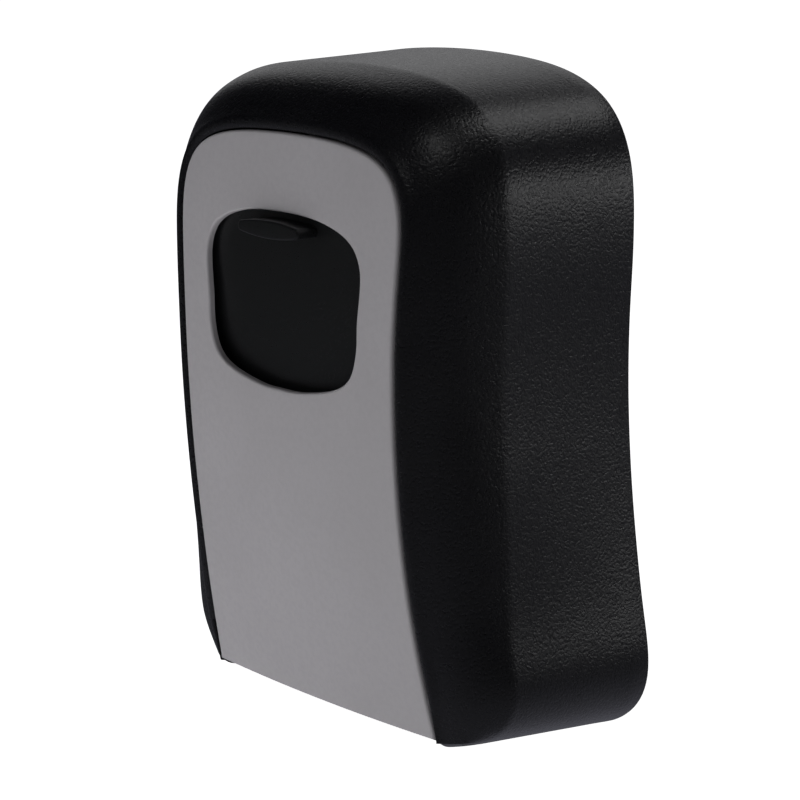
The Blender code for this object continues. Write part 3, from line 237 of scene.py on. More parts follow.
def cylinder(name, start, end, radius, segments=48, end_radius=None):
    bm = bmesh.new()
    bmesh.ops.create_cone(
        bm,
        cap_ends=True,
        segments=segments,
        radius1=radius,
        radius2=radius if end_radius is None else end_radius,
        depth=(end - start).length,
    )
    turn = Vector((0, 0, 1)).rotation_difference(end - start).to_matrix().to_4x4()
    bmesh.ops.transform(bm, matrix=Matrix.Translation((start + end) / 2) @ turn, verts=bm.verts)
    return from_bmesh(name, bm)


def curve_mesh(name, curve):
    """The welded mesh of a curve, which is removed."""
    drawn = bpy.data.objects.new(name, curve)
    bpy.context.scene.collection.objects.link(drawn)
    graph = bpy.context.evaluated_depsgraph_get()
    mesh = bpy.data.meshes.new_from_object(drawn.evaluated_get(graph))
    bpy.data.objects.remove(drawn, do_unlink=True)
    bm = bmesh.new()
    bm.from_mesh(mesh)
    bpy.data.meshes.remove(mesh)
    bmesh.ops.remove_doubles(bm, verts=bm.verts, dist=WELD)
    return bm


def side_profile(name, outline, half_width):
    """An outline in depth and height, made into a block that reaches as far to each side as given."""
    curve = bpy.data.curves.new(name, "CURVE")
    curve.dimensions = "2D"
    curve.fill_mode = "BOTH"
    curve.extrude = half_width
    spline = curve.splines.new("POLY")
    spline.points.add(len(outline) - 1)
    for point, (depth, height) in zip(spline.points, outline):
        point.co = (depth, height + BASE, 0.0, 1.0)
    spline.use_cyclic_u = True
    bm = curve_mesh(name + "_outline", curve)
    bmesh.ops.transform(bm, matrix=turned_to((0, 0, 0), (0, -1, 0), (0, 0, 1)), verts=bm.verts)
    return from_bmesh(name, bm, angle=FLAT_SHARP_ANGLE)


def combine(obj, others, operation):
    """Joins or cuts the other solids, applies the result and removes them."""
    for other in others:
        change = obj.modifiers.new(other.name, "BOOLEAN")
        change.operation = operation
        change.solver = "EXACT"
        change.object = other
    bake_modifiers(obj)
    for other in others:
        bpy.data.objects.remove(other, do_unlink=True)


def bake_modifiers(obj):
    graph = bpy.context.evaluated_depsgraph_get()
    mesh = bpy.data.meshes.new_from_object(obj.evaluated_get(graph))
    obj.modifiers.clear()
    obj.data = mesh
    shade(mesh)


def round_edges(obj, width, segments):
    bevel = obj.modifiers.new("edges", "BEVEL")
    bevel.width = width
    bevel.segments = segments
    bevel.limit_method = "ANGLE"
    bevel.angle_limit = SHARP_ANGLE
    bake_modifiers(obj)


# ---------------------------------------------------------------- outlines


def catmull(a, b, c, d, t):
    return 0.5 * (
        2 * b + (c - a) * t + (2 * a - 5 * b + 4 * c - d) * t**2 + (3 * b - a - 3 * c + d) * t**3
    )


def even_points(fine, count):
    lengths = [0.0]
    for a, b in zip(fine, fine[1:]):
        lengths.append(lengths[-1] + (b - a).length)
    out = []
    k = 0
    for i in range(count + 1):
        wanted = lengths[-1] * i / count
        while k < len(fine) - 2 and lengths[k + 1] < wanted:
            k += 1
        share = (wanted - lengths[k]) / max(lengths[k + 1] - lengths[k], 1e-12)
        out.append(fine[k].lerp(fine[k + 1], min(max(share, 0.0), 1.0)))
    return out


def smooth_line(points, before, after, count):
    around = [before, *points, after]
    fine = []
    for a, b, c, d in zip(around, around[1:], around[2:], around[3:]):
        fine += [catmull(a, b, c, d, i / 40) for i in range(40)]
    fine.append(points[-1])
    return even_points(fine, count)


def mirrored_x(point):
    return Vector((-point.x, point.y))


def closed_half(half):
    return half + [mirrored_x(p) for p in reversed(half[1:-1])]


def eased(loop, passes, corners=()):
    """Evens out the loop's curvature, so that highlights run smoothly along it, but not at its corners."""
    count = len(loop)
    for _ in range(passes):
        loop = [
            p if near_corner(i, corners, count) else p * 0.5 + (loop[i - 1] + loop[(i + 1) % count]) * 0.25
            for i, p in enumerate(loop)
        ]
    return loop


def near_corner(i, corners, count):
    return any(min((i - c) % count, (c - i) % count) <= 1 for c in corners)


def rounded_loop(shape, half_width, bottom, height, passes=14):
    points = [Vector((x * half_width, bottom + z * height)) for x, z in shape]
    half = smooth_line(points, mirrored_x(points[1]), mirrored_x(points[-2]), LOOP_STEPS)
    half[0].x = 0.0
    half[-1].x = 0.0
    return eased(closed_half(half), passes)


def panel_loop(grow=0.0):
    height = PANEL_TOP - PANEL_BOTTOM
    points = [Vector((x * PANEL_HALF, PANEL_BOTTOM + z * height)) for x, z in PANEL_SHAPE]
    last = points[-1]
    bottom_steps = round(LOOP_STEPS * 0.22)
    side = smooth_line(points, mirrored_x(points[1]), last * 2 - points[-2], LOOP_STEPS - bottom_steps)
    foot = [last.lerp(Vector((0.0, last.y)), i / bottom_steps) for i in range(1, bottom_steps + 1)]
    half = side + foot
    half[0].x = 0.0
    half[-1].x = 0.0
    loop = closed_half(half)
    corners = (len(side) - 1, len(loop) - len(side) + 1)
    return grown(eased(loop, 8, corners), grow)


def grown(loop, by):
    """A loop moved outwards by the given distance."""
    if not by:
        return [p.copy() for p in loop]
    out = []
    for i, point in enumerate(loop):
        along = (loop[(i + 1) % len(loop)] - loop[i - 1]).normalized()
        out.append(point + Vector((-along.y, along.x)) * by)
    return out


def front(x, height):
    share = height / (CASE_HEIGHT / 2) - 1
    return FRONT_DEPTH + FRONT_LEAN * share - FRONT_CROWN * share**2 - FRONT_ROLL * (x / ROLL_AT) ** 2


def on_front(loop, behind):
    return [at(p.x, front(p.x, p.y) - behind, p.y) for p in loop]


def at_depth(loop, depth):
    return [at(p.x, depth, p.y) for p in loop]


# ---------------------------------------------------------------- case


def slope_ring(shoulder, rim, share, inside=0.0):
    out = []
    for s, r in zip(shoulder, rim):
        rise = front(r.x, r.y) - RIM_DROP - SHOULDER_DEPTH
        run = (s - r).length
        span = math.hypot(rise, run)
        outward = (s - r) / max(run, 1e-9)
        lift = SLOPE_BULGE * math.sin(math.pi * share) - inside
        flat_point = s.lerp(r, share) + outward * (lift * rise / span)
        depth = SHOULDER_DEPTH + rise * share + lift * run / span
        out.append(at(flat_point.x, depth, flat_point.y))
    return out


def rounded_corner(before, corner, after, steps):
    """Rings on a quadratic curve from one ring to another round the ring between them."""
    rings = []
    for k in range(1, steps):
        t = k / steps
        rings.append([
            a * (1 - t) ** 2 + c * 2 * t * (1 - t) + b * t**2 for a, c, b in zip(before, corner, after)
        ])
    return rings


def shoulder_loop(outer):
    """The outline where the wall meets the slope: drafted all round, and drawn in further near the foot."""
    out = []
    for p in grown(outer, -DRAFT):
        share = (FOOT_TAPER_FROM - p.y) / (FOOT_TAPER_FROM - FOOT_TAPER_FULL)
        share = min(max(share, 0.0), 1.0)
        pull = FOOT_TAPER * share * share * (3 - 2 * share)
        out.append(Vector((p.x * (1 - pull / (CASE_WIDTH / 2)), p.y)))
    return out


def rim_loop():
    """The rim's outer edge. It draws in to the opening at the two foot corners."""
    corner = Vector((PANEL_HALF, PANEL_BOTTOM))
    out = []
    for near, far in zip(panel_loop(DOOR_GAP), panel_loop(RIM_WIDTH)):
        away = min((Vector((abs(near.x), near.y)) - corner).length / RIM_CORNER, 1.0)
        out.append(near.lerp(far, 0.2 + 0.8 * away * away * (3 - 2 * away)))
    return out


def between(outer, inner, share):
    return [a.lerp(b, share) for a, b in zip(outer, inner)]


def wall_ring(outer, shoulder, depth):
    return at_depth(between(outer, shoulder, depth / SHOULDER_DEPTH), depth)


def case_rings():
    outer = rounded_loop(CASE_SHAPE, CASE_WIDTH / 2, 0.0, CASE_HEIGHT)
    shoulder = shoulder_loop(outer)
    rim = rim_loop()
    cavity = grown(shoulder, -CASE_WALL)
    opening = panel_loop(DOOR_GAP)
    back_edge = at_depth(grown(outer, -BACK_CHAMFER), 0.0)
    wall_start = at_depth(outer, BACK_CHAMFER)
    back_corner = at_depth(outer, BACK_CHAMFER * 0.2)
    rings = [back_edge, *rounded_corner(back_edge, back_corner, wall_start, 3), wall_start]
    straight = SHOULDER_DEPTH - SHOULDER_ROUND
    for k in range(1, 9):
        rings.append(wall_ring(outer, shoulder, BACK_CHAMFER + (straight - BACK_CHAMFER) * k / 8))
    first = slope_ring(shoulder, rim, 0.07)
    rings += rounded_corner(rings[-1], at_depth(shoulder, SHOULDER_DEPTH), first, 7)
    rings += [slope_ring(shoulder, rim, 0.07 + 0.93 * k / 16) for k in range(16)]
    for k in range(11):
        t = k / 10
        drop = RIM_DROP * (1 - math.sin(math.pi * (0.06 + 0.88 * t)) ** 0.8)
        rings.append(on_front(between(rim, opening, t), drop))
    rings.append(on_front(opening, RIM_LIP))
    for share in (0.78, 0.6, 0.45, 0.25):
        rings.append(eased(slope_ring(shoulder, rim, share, CASE_WALL), 40))
    rings.append(at_depth(cavity, SHOULDER_DEPTH - CASE_WALL))
    rings.append(at_depth(cavity, BACK_THICKNESS + 1.2 * MM))
    rings.append(at_depth(grown(cavity, -0.35 * MM), BACK_THICKNESS + 0.35 * MM))
    rings.append(at_depth(grown(cavity, -1.2 * MM), BACK_THICKNESS))
    return rings


def outer_body():
    """The case as a solid block, without its cavity, which keeps the lugs inside the outer surface."""
    return loft("outer_body", case_rings()[:OUTER_RINGS])


def door_way_outline():
    """Cuts the way for the door's hinge heel through the front and the foot of the case."""
    radius = HEEL_RADIUS + HEEL_CLEARANCE
    far = 60 * MM
    points = [(far, -10 * MM), (HINGE_DEPTH, -10 * MM)]
    for i in range(41):
        angle = math.pi * (1.5 - i / 40)
        points.append((HINGE_DEPTH + radius * math.cos(angle), HINGE_HEIGHT + radius * math.sin(angle)))
    points.append((far, HINGE_HEIGHT + radius))
    return points


def strike_outline():
    """The block above the opening that the latch tongue stands behind."""
    low = PANEL_TOP + DOOR_GAP + 0.15 * MM
    ahead = front(0, PANEL_TOP) - RIM_LIP
    return [
        (STRIKE_BACK, low),
        (ahead - 1.2 * MM, low),
        (ahead - 2.4 * MM, low + 4.6 * MM),
        (STRIKE_BACK, low + 7.2 * MM),
    ]


def build_case(coat):
    case = loft("case_shell", case_rings(), coat)
    half = PANEL_HALF + DOOR_GAP
    combine(case, [side_profile("door_way", door_way_outline(), half)], "DIFFERENCE")
    inner = HEEL_HALF + LUG_GAP
    added = [side_profile("strike", strike_outline(), STRIKE_HALF)]
    removed = []
    for side in (-1, 1):
        start = at(side * inner, HINGE_DEPTH, HINGE_HEIGHT)
        end = at(side * (PANEL_HALF + 5.3 * MM), HINGE_DEPTH, HINGE_HEIGHT)
        added.append(cylinder(f"lug_{side}", start, end, LUG_RADIUS))
        removed.append(
            cylinder(
                f"lug_bore_{side}",
                at(side * (inner - 2 * MM), HINGE_DEPTH, HINGE_HEIGHT),
                at(side * (inner + 2.6 * MM), HINGE_DEPTH, HINGE_HEIGHT),
                PIN_BORE,
            )
        )
        for height in MOUNT_HEIGHTS:
            x = side * MOUNT_X
            label = f"{side}_{round(height / MM)}"
            hole_ends = at(x, -MM, height), at(x, 4 * MM, height)
            removed.append(cylinder("hole_" + label, *hole_ends, MOUNT_RADIUS))
            removed.append(
                cylinder(
                    "sink_" + label,
                    at(x, BACK_THICKNESS - 2 * MM, height),
                    at(x, BACK_THICKNESS + 0.4 * MM, height),
                    MOUNT_RADIUS,
                    end_radius=MOUNT_SINK_RADIUS,
                )
            )
    for lug in added[1:]:
        combine(lug, [outer_body()], "INTERSECT")
    combine(case, added, "UNION")
    combine(case, removed, "DIFFERENCE")
    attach(case, "case")
    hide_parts("case_body")


# ---------------------------------------------------------------- door panel


def panel_rings():
    outer = panel_loop()
    window = rounded_loop(WINDOW_SHAPE, WINDOW_HALF, WINDOW_BOTTOM, WINDOW_HEIGHT, 6)
    outer_edge = grown(outer, -PANEL_EDGE)
    inner_edge = grown(window, PANEL_EDGE)
    face = [between(outer_edge, inner_edge, k / 12) for k in range(1, 12)]
    rings = [on_front(outer, PANEL_THICKNESS)]
    quarter = [math.pi / 2 * k / 6 for k in range(7)]
    rounding = [(PANEL_EDGE * (1 - math.cos(a)), PANEL_EDGE * (1 - math.sin(a))) for a in quarter]
    rings += [on_front(grown(outer, -inwards), behind) for inwards, behind in rounding]
    rings += [on_front(ring, 0.0) for ring in face]
    rings += [on_front(grown(window, outwards), behind) for outwards, behind in reversed(rounding)]
    rings.append(on_front(window, PANEL_THICKNESS))
    rings += [on_front(ring, PANEL_THICKNESS) for ring in reversed(face)]
    return rings


def build_panel(coat):
    panel = loft("door_skin", panel_rings(), coat, endless=True)
    posts = []
    holes = []
    for side in (-1, 1):
        for k, height in enumerate(POST_HEIGHTS):
            x = side * POST_X
            ahead = front(x, height) - PANEL_THICKNESS
            post_ends = at(x, MASK_FRONT + 0.3 * MM, height), at(x, ahead + 0.6 * MM, height)
            hole_ends = at(x, MASK_FRONT - MM, height), at(x, ahead - 0.2 * MM, height)
            posts.append(cylinder(f"post_{side}_{k}", *post_ends, POST_RADIUS))
            holes.append(cylinder(f"post_hole_{side}_{k}", *hole_ends, POST_HOLE_RADIUS, segments=24))
    combine(panel, posts, "UNION")
    combine(panel, holes, "DIFFERENCE")
    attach(panel, "door")
    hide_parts("door_panel")


# ---------------------------------------------------------------- shutter


def shutter_front(x, height):
    above = height - SHUTTER_MIDDLE
    middle = front(0, SHUTTER_MIDDLE) - SHUTTER_RECESS
    return middle + SHUTTER_LEAN * above - SHUTTER_CROWN * above**2 - FRONT_ROLL * (x / ROLL_AT) ** 2


def tab_outline(shrink=0.0):
    """A flat lens with blunt ends, made smaller all round by the given distance."""
    points = []
    steps = 24
    end = TAB_END_HEIGHT / 2
    arch = (TAB_HEIGHT - TAB_END_HEIGHT) / 2
    reach = TAB_HALF - end * 0.8
    for i in range(steps + 1):
        x = reach * (1 - 2 * i / steps)
        points.append(Vector((x, end + arch * (1 - (x / reach) ** 2))))
    for i in range(1, 10):
        angle = math.pi / 2 + math.pi * i / 10
        points.append(Vector((-reach + end * 0.8 * math.cos(angle), end * math.sin(angle))))
    for i in range(steps + 1):
        x = -reach * (1 - 2 * i / steps)
        points.append(Vector((x, -end - arch * (1 - (x / reach) ** 2))))
    for i in range(1, 10):
        angle = -math.pi / 2 + math.pi * i / 10
        points.append(Vector((reach + end * 0.8 * math.cos(angle), end * math.sin(angle))))
    return grown(points, shrink)


def tab_rings():
    outer = front(0, TAB_MIDDLE) + TAB_STANDS_OUT
    root = shutter_front(0, TAB_MIDDLE) - SHUTTER_THICKNESS * 0.6
    edge = 0.4 * MM
    rings = [[at(p.x, root, TAB_MIDDLE + p.y) for p in tab_outline()]]
    for k in range(6):
        angle = math.pi / 2 * k / 5
        loop = tab_outline(edge * (1 - math.cos(angle)))
        rings.append([at(p.x, outer - edge * (1 - math.sin(angle)), TAB_MIDDLE + p.y) for p in loop])
    return rings


def build_shutter(coat):
    bm = bmesh.new()
    bmesh.ops.create_grid(bm, x_segments=64, y_segments=44, size=1.0)
    tall = (SHUTTER_TOP - SHUTTER_BOTTOM) / 2
    for vert in bm.verts:
        x = vert.co.x * SHUTTER_HALF
        height = SHUTTER_MIDDLE + vert.co.y * tall
        vert.co = at(x, shutter_front(x, height), height)
    shutter = from_bmesh("shutter_plate", bm, coat)
    sheet = shutter.modifiers.new("sheet", "SOLIDIFY")
    sheet.thickness = SHUTTER_THICKNESS
    inward = shutter.data.polygons[0].normal.y > 0
    sheet.offset = 1.0 if inward else -1.0
    sheet.use_even_offset = True
    bake_modifiers(shutter)
    round_edges(shutter, 0.18 * MM, 2)
    combine(shutter, [loft("finger_tab", tab_rings())], "UNION")
    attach(shutter, "shutter")
    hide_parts("shutter")


# ---------------------------------------------------------------- lock


def numeral(digit, tall):
    """One digit as a thin closed solid, centred on the origin in X and Y."""
    curve = bpy.data.curves.new("digit", "FONT")
    curve.body = str(digit)
    curve.size = tall / 0.7
    curve.extrude = NUMERAL_DEPTH
    curve.resolution_u = 3
    bm = curve_mesh("digit", curve)
    low = Vector([min(v.co[k] for v in bm.verts) for k in range(3)])
    high = Vector([max(v.co[k] for v in bm.verts) for k in range(3)])
    bmesh.ops.translate(bm, vec=-(low + high) / 2, verts=bm.verts)
    for k in range(1, 9):
        cut_at = Vector((0, tall * (k / 9 - 0.5), 0))
        whole = bm.verts[:] + bm.edges[:] + bm.faces[:]
        bmesh.ops.bisect_plane(bm, geom=whole, plane_co=cut_at, plane_no=(0, 1, 0))
    return bm


def build_numerals(i, coat):
    """White figures 0 to 9 round one dial, standing a hair proud of it; the 0 faces out at rest."""
    low, high = (Vector(c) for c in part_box(f"dial_{i}"))
    middle = (low + high) / 2
    radius = (high.y - low.y) / 2
    whole = bmesh.new()
    for digit in range(10):
        bm = numeral(digit, NUMERAL_TALL)
        for vert in bm.verts:
            angle = 2 * math.pi * digit / 10 + vert.co.y / radius
            out = radius + vert.co.z
            turned = Vector((vert.co.x, -out * math.cos(angle), out * math.sin(angle)))
            vert.co = middle + turned
        mesh = bpy.data.meshes.new("digit")
        bm.to_mesh(mesh)
        bm.free()
        whole.from_mesh(mesh)
        bpy.data.meshes.remove(mesh)
    piece = from_bmesh(f"dial_{i}_numerals", whole, coat, FLAT_SHARP_ANGLE)
    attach(piece, f"dial_{i}")


def build_lever(coat):
    """The release lever, as packed, with five grip grooves across its knob."""
    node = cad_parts["release_lever"]
    lever = new_object("lever_grip", node.data.copy(), coat)
    front_face = min(v.co.y for v in lever.data.vertices)
    knob = [v.co.z for v in lever.data.vertices if v.co.y < front_face + 0.8 * MM]
    half = max(v.co.x for v in lever.data.vertices) + 1 * MM
    grooves = []
    for k in range(LEVER_GROOVES):
        height = min(knob) + (max(knob) - min(knob)) * (k + 1) / (LEVER_GROOVES + 1)
        ends = (Vector((side * half, front_face, height)) for side in (-1, 1))
        grooves.append(cylinder(f"groove_{k}", *ends, LEVER_GROOVE_RADIUS, segments=10))
    combine(lever, grooves, "DIFFERENCE")
    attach(lever, "latch")
    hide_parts("release_lever")


def build_spring(side, coat):
    """A latch spring: a copy of the imported one with a mesh of its own, carried by the door."""
    name = f"latch_spring_{side}"
    spring = new_object(f"coil_{side}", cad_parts[name].data.copy(), coat)
    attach(spring, "door")
    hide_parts(name)
    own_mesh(spring)


# ---------------------------------------------------------------- materials


def map_range(tree, value, source, target, smooth):
    node = tree.nodes.new("ShaderNodeMapRange")
    if smooth:
        node.interpolation_type = "SMOOTHSTEP"
    for name, (low, high) in (("From", source), ("To", target)):
        node.inputs[name + " Min"].default_value = low
        node.inputs[name + " Max"].default_value = high
    tree.links.new(value, node.inputs["Value"])
    return node.outputs["Result"]


class Nodes:
    """Builds one node material. Noise scales are per metre, in the object's own space."""

    def __init__(self, name, colour, roughness, metallic=0.0, specular=0.5):
        self.material = bpy.data.materials.new(name)
        self.material.use_nodes = True
        self.tree = self.material.node_tree
        self.shader = self.tree.nodes["Principled BSDF"]
        self.shader.inputs["Base Color"].default_value = (*colour, 1.0)
        self.shader.inputs["Roughness"].default_value = roughness
        self.shader.inputs["Metallic"].default_value = metallic
        self.shader.inputs["Specular IOR Level"].default_value = specular
        self.coords = self.new("ShaderNodeTexCoord").outputs["Object"]

    def new(self, kind, **inputs):
        node = self.tree.nodes.new(kind)
        for key, value in inputs.items():
            node.inputs[key.replace("_", " ")].default_value = value
        return node

    def link(self, output, target):
        self.tree.links.new(output, target)

    def noise(self, scale, detail=2.0, roughness=0.5, distortion=0.0, stretch=(1, 1, 1)):
        mapping = self.new("ShaderNodeMapping", Scale=stretch)
        self.link(self.coords, mapping.inputs["Vector"])
        settings = {"Scale": scale, "Detail": detail, "Roughness": roughness, "Distortion": distortion}
        noise = self.new("ShaderNodeTexNoise", **settings)
        self.link(mapping.outputs["Vector"], noise.inputs["Vector"])
        return noise.outputs["Fac"]

    def ranged(self, value, low, high, to_low, to_high, smooth=False):
        return map_range(self.tree, value, (low, high), (to_low, to_high), smooth)

    def math(self, operation, a, b):
        node = self.new("ShaderNodeMath")
        node.operation = operation
        for k, value in enumerate((a, b)):
            if isinstance(value, (int, float)):
                node.inputs[k].default_value = value
            else:
                self.link(value, node.inputs[k])
        return node.outputs[0]

    def mixed(self, factor, first, second):
        node = self.new("ShaderNodeMix")
        node.data_type = "RGBA"
        colours = [s for s in node.inputs if s.type == "RGBA"]
        self.link(factor, node.inputs["Factor"])
        for socket, value in zip(colours, (first, second)):
            if isinstance(value, tuple):
                socket.default_value = (*value, 1.0)
            else:
                self.link(value, socket)
        return next(s for s in node.outputs if s.type == "RGBA")

    def base(self, output):
        self.link(output, self.shader.inputs["Base Color"])

    def roughness(self, output):
        self.link(output, self.shader.inputs["Roughness"])

    def bump(self, height, distance, strength=1.0):
        node = self.new("ShaderNodeBump", Strength=strength, Distance=distance)
        self.link(height, node.inputs["Height"])
        self.link(node.outputs["Normal"], self.shader.inputs["Normal"])


def black_casting():
    """Black powder coat over a casting, with a leathery grain about half a millimetre across."""
    n = Nodes("black_textured_casting", (0.0052, 0.0052, 0.0064), 0.3)
    grain = n.noise(2000, 1.0, 0.45, 0.4)
    fine = n.noise(4400, 1.0, 0.5)
    broad = n.noise(60, 3.0)
    height = n.math("ADD", n.ranged(grain, 0.3, 0.7, 0.0, 1.0), n.math("MULTIPLY", fine, 0.35))
    n.bump(height, 0.036 * MM, 1.0)
    share = n.ranged(broad, 0.35, 0.65, 0.0, 1.0)
    n.base(n.mixed(share, (0.0046, 0.0046, 0.0058), (0.0058, 0.0058, 0.007)))
    n.roughness(n.ranged(grain, 0.3, 0.7, 0.26, 0.34))
    return n.material


def grey_panel():
    """Satin grey paint with a faint mottle."""
    n = Nodes("grey_satin_panel", (0.27, 0.262, 0.278), 0.42)
    mottle = n.noise(900, 3.0, 0.6)
    broad = n.noise(35, 2.0)
    share = n.ranged(broad, 0.3, 0.7, 0.0, 1.0)
    colour = n.mixed(share, (0.262, 0.252, 0.266), (0.278, 0.268, 0.284))
    colour = n.mixed(n.ranged(mottle, 0.42, 0.62, 0.0, 0.35), colour, (0.245, 0.238, 0.25))
    n.base(colour)
    n.bump(mottle, 0.008 * MM, 0.5)
    n.roughness(n.ranged(mottle, 0.3, 0.7, 0.38, 0.48))
    return n.material


def shutter_black():
    """Smooth black plastic, a little glossier than the coat of the case."""
    n = Nodes("black_satin_plastic", (0.0055, 0.0058, 0.0064), 0.34)
    fine = n.noise(4200, 2.0)
    broad = n.noise(45, 2.0)
    n.base(n.mixed(broad, (0.005, 0.0053, 0.0058), (0.0062, 0.0065, 0.0072)))
    n.bump(fine, 0.004 * MM, 0.5)
    n.roughness(n.ranged(fine, 0.3, 0.7, 0.27, 0.36))
    return n.material


def castings():
    """Dark zinc casting: smooth as cast, with a faint flow pattern."""
    n = Nodes("dark_casting", (0.02, 0.02, 0.022), 0.45, 0.2)
    grain = n.noise(2600, 3.0, 0.6)
    flow = n.noise(70, 4.0, 0.6, 0.8)
    share = n.ranged(flow, 0.35, 0.65, 0.0, 1.0)
    n.base(n.mixed(share, (0.016, 0.016, 0.018), (0.028, 0.028, 0.031)))
    n.bump(grain, 0.02 * MM, 0.7)
    n.roughness(n.ranged(grain, 0.3, 0.7, 0.38, 0.55))
    return n.material


def metal(name, light, dark, roughness, stretch, specks=None):
    """Bare or plated metal with drawn lines along one direction and faint stains."""
    n = Nodes(name, light, roughness, 1.0)
    lines = n.noise(900, 3.0, 0.6, 0.0, stretch)
    stain = n.noise(120, 4.0, 0.6)
    colour = n.mixed(n.ranged(lines, 0.35, 0.65, 0.0, 1.0), dark, light)
    if specks:
        colour = n.mixed(n.ranged(stain, 0.56, 0.7, 0.0, 0.5), colour, specks)
    n.base(colour)
    n.bump(lines, 0.006 * MM, 0.6)
    n.roughness(n.ranged(stain, 0.3, 0.7, roughness * 0.8, roughness * 1.35))
    return n.material


def plastic(name, colour, roughness):
    """Moulded plastic with a fine grain and a slight unevenness of colour."""
    n = Nodes(name, colour, roughness)
    fine = n.noise(3000, 3.0, 0.55)
    broad = n.noise(90, 3.0)
    n.base(n.mixed(broad, tuple(c * 0.85 for c in colour), tuple(c * 1.2 for c in colour)))
    n.bump(fine, 0.01 * MM, 0.6)
    n.roughness(n.ranged(fine, 0.3, 0.7, roughness * 0.9, roughness * 1.15))
    return n.material


def coat_cad(coat, *names):
    """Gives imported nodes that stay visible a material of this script's."""
    for name in names:
        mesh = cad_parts[name].data
        mesh.materials.clear()
        mesh.materials.append(coat)


# ---------------------------------------------------------------- stage


def area_light(name, place, aim, size, energy, diffuse=True, glossy=True):
    """Either kind of light can be left out: shine only (diffuse=False) or no shine (glossy=False)."""
    data = bpy.data.lights.new(name, "AREA")
    data.shape = "RECTANGLE"
    data.size, data.size_y = size
    data.energy = energy
    lamp = bpy.data.objects.new(name, data)
    bpy.context.scene.collection.objects.link(lamp)
    place = Vector(place)
    lamp.location = place
    lamp.rotation_euler = (Vector(aim) - place).to_track_quat("-Z", "Y").to_euler()
    lamp.visible_camera = False
    lamp.visible_diffuse = diffuse
    lamp.visible_glossy = glossy


def build_camera():
    forward = Vector((
        -math.sin(AZIMUTH) * math.cos(ELEVATION),
        math.cos(AZIMUTH) * math.cos(ELEVATION),
        -math.sin(ELEVATION),
    ))
    right = Vector((math.cos(AZIMUTH), math.sin(AZIMUTH), 0.0))
    up = right.cross(forward)
    aim = CAMERA_AIM + right * AIM_RIGHT - up * AIM_DOWN
    data = bpy.data.cameras.new("camera")
    data.lens = FOCAL_LENGTH
    data.sensor_width = SENSOR_WIDTH
    data.clip_start = 0.01
    data.clip_end = 50.0
    camera = bpy.data.objects.new("camera", data)
    bpy.context.scene.collection.objects.link(camera)
    place = Matrix.Translation(aim - forward * CAMERA_DISTANCE)
    turn = Matrix((right, up, -forward)).transposed().to_4x4()
    camera.matrix_world = place @ turn @ Matrix.Rotation(ROLL, 4, "Z")
    bpy.context.scene.camera = camera


def build_floor():
    """A pale floor that glows to white away from the object, and lies lower than the open door hangs."""
    bm = bmesh.new()
    bmesh.ops.create_circle(bm, cap_ends=True, segments=96, radius=FLOOR_RADIUS)
    floor = from_bmesh("floor", bm)
    floor.location = (0, 0, BASE - FLOOR_BELOW)
    n = Nodes("floor_white", (0.9, 0.9, 0.9), 0.9, specular=0.0)
    reach = n.new("ShaderNodeVectorMath")
    reach.operation = "LENGTH"
    n.link(n.coords, reach.inputs[0])
    n.shader.inputs["Emission Color"].default_value = (1, 1, 1, 1)
    glow = n.ranged(reach.outputs["Value"], 0.05, 0.25, 0.9, 1.05, smooth=True)
    n.link(glow, n.shader.inputs["Emission Strength"])
    floor.data.materials.append(n.material)
    floor.visible_glossy = False


def build_world():
    """A dim studio: a soft glow low behind the object and from the floor, dark in front.

    The camera itself sees a bright sky in its place.
    """
    world = bpy.data.worlds.new("studio")
    bpy.context.scene.world = world
    world.use_nodes = True
    tree = world.node_tree
    background = tree.nodes["Background"]
    coords = tree.nodes.new("ShaderNodeTexCoord")
    axes = tree.nodes.new("ShaderNodeSeparateXYZ")
    tree.links.new(coords.outputs["Generated"], axes.inputs["Vector"])

    def ramp(axis, low, high, to_low, to_high):
        return map_range(tree, axes.outputs[axis], (low, high), (to_low, to_high), True)

    def pair(operation, a, b):
        node = tree.nodes.new("ShaderNodeMath")
        node.operation = operation
        tree.links.new(a, node.inputs[0])
        tree.links.new(b, node.inputs[1])
        return node.outputs[0]

    behind = ramp("Y", -0.1, 0.55, 0.0, 1.0)
    level = pair("MULTIPLY", behind, ramp("Z", -0.95, -0.1, 0.36, 0.09))
    upward = pair("MULTIPLY", behind, ramp("Z", -0.05, 0.3, 0.0, -0.03))
    below = ramp("Z", -0.6, -0.15, 0.14, 0.0)
    total = pair("MAXIMUM", below, pair("ADD", level, upward))
    seen = tree.nodes.new("ShaderNodeLightPath").outputs["Is Camera Ray"]
    tree.links.new(pair("MAXIMUM", total, seen), background.inputs["Strength"])
    background.inputs["Color"].default_value = (0.85, 0.85, 1.0, 1)


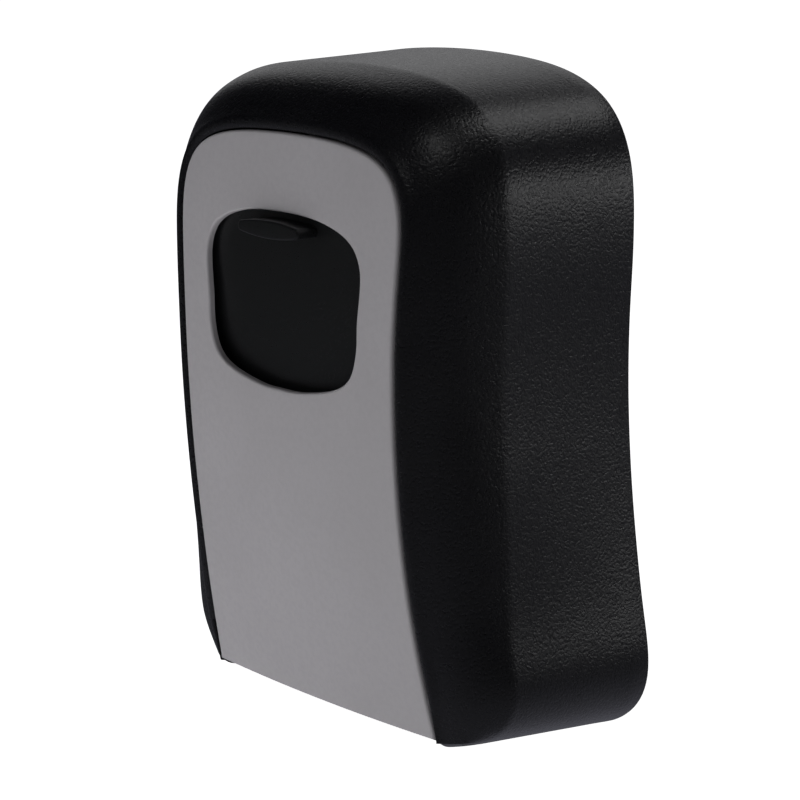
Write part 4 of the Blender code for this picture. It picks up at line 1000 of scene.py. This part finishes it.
def build_lights():
    """Soft boxes that only shine, placed round the upper right of the shoulder, and lamps for the rest."""
    shoulder = Vector((0.04, -0.015, 0.038))
    front_middle = Vector((0, -0.03, 0))

    def shine(name, direction, distance, size, energy):
        place = shoulder + Vector(direction).normalized() * distance
        area_light(name, place, shoulder, size, energy, diffuse=False)

    shine("side_strip", (0.831, 0.557, 0.075), 0.8, (0.95, 0.1), 0.85)
    shine("corner_box", (0.148, 0.565, 0.79), 0.7, (0.44, 0.26), 0.5)
    shine("back_box", (-0.69, 0.6, 0.39), 0.9, (0.75, 0.56), 0.58)
    area_light("key", (-0.7, -1.0, 0.45), front_middle, (0.9, 0.9), 3.9, glossy=False)
    low_place = (-0.04, -0.13, BASE + 0.01)
    area_light("low_fill", low_place, (0, -0.04, -0.03), (0.12, 0.01), 0.03, glossy=False)
    shine("front_high", (0.27, -0.54, 0.75), 0.8, (0.32, 0.2), 0.28)
    shine("high_box", (0.33, 0.12, 0.94), 0.7, (0.25, 0.2), 0.4)
    area_light("front_soft", (-0.9, -0.9, -0.1), front_middle, (0.9, 0.7), 0.08, diffuse=False)
    area_light("overhead", (0, -0.2, 1.4), (0, 0, 0), (1.6, 1.6), 3.0, glossy=False)


# ---------------------------------------------------------------- assembly


def main():
    build_camera()
    build_floor()
    build_world()
    build_lights()
    build_case(black_casting())
    build_panel(grey_panel())
    build_shutter(shutter_black())
    specks = (0.4, 0.37, 0.3)
    steel = metal("zinc_plated_steel", (0.62, 0.62, 0.63), (0.5, 0.5, 0.52), 0.3, (1, 1, 0.05), specks)
    cover = metal("cover_sheet", (0.44, 0.445, 0.45), (0.36, 0.365, 0.37), 0.4, (0.03, 1, 1))
    brass = metal("brass_ring", (0.62, 0.45, 0.2), (0.5, 0.35, 0.14), 0.3, (0.05, 1, 1))
    slide = metal("reset_slide_steel", (0.55, 0.55, 0.57), (0.45, 0.45, 0.47), 0.35, (0.05, 1, 1))
    coat_cad(castings(), "door_housing")
    coat_cad(cover, "back_cover")
    build_lever(plastic("lever_plastic", (0.012, 0.012, 0.013), 0.4))
    white = plastic("numeral_white", (0.62, 0.62, 0.6), 0.5)
    dial_coat = plastic("dial_plastic", (0.013, 0.013, 0.014), 0.36)
    for i in range(1, 5):
        build_numerals(i, white)
        coat_cad(dial_coat, f"dial_{i}")
        coat_cad(brass, f"code_ring_{i}")
    coat_cad(slide, "reset_slide")
    for side in ("left", "right"):
        build_spring(side, steel)
    steel_nodes = ["hinge_pin_left", "hinge_pin_right", "dial_axle", "detent_spring", "latch_plate"]
    steel_nodes += [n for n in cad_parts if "screw" in n]
    coat_cad(steel, *steel_nodes)
    bpy.context.scene.view_settings.view_transform = "Standard"


main()
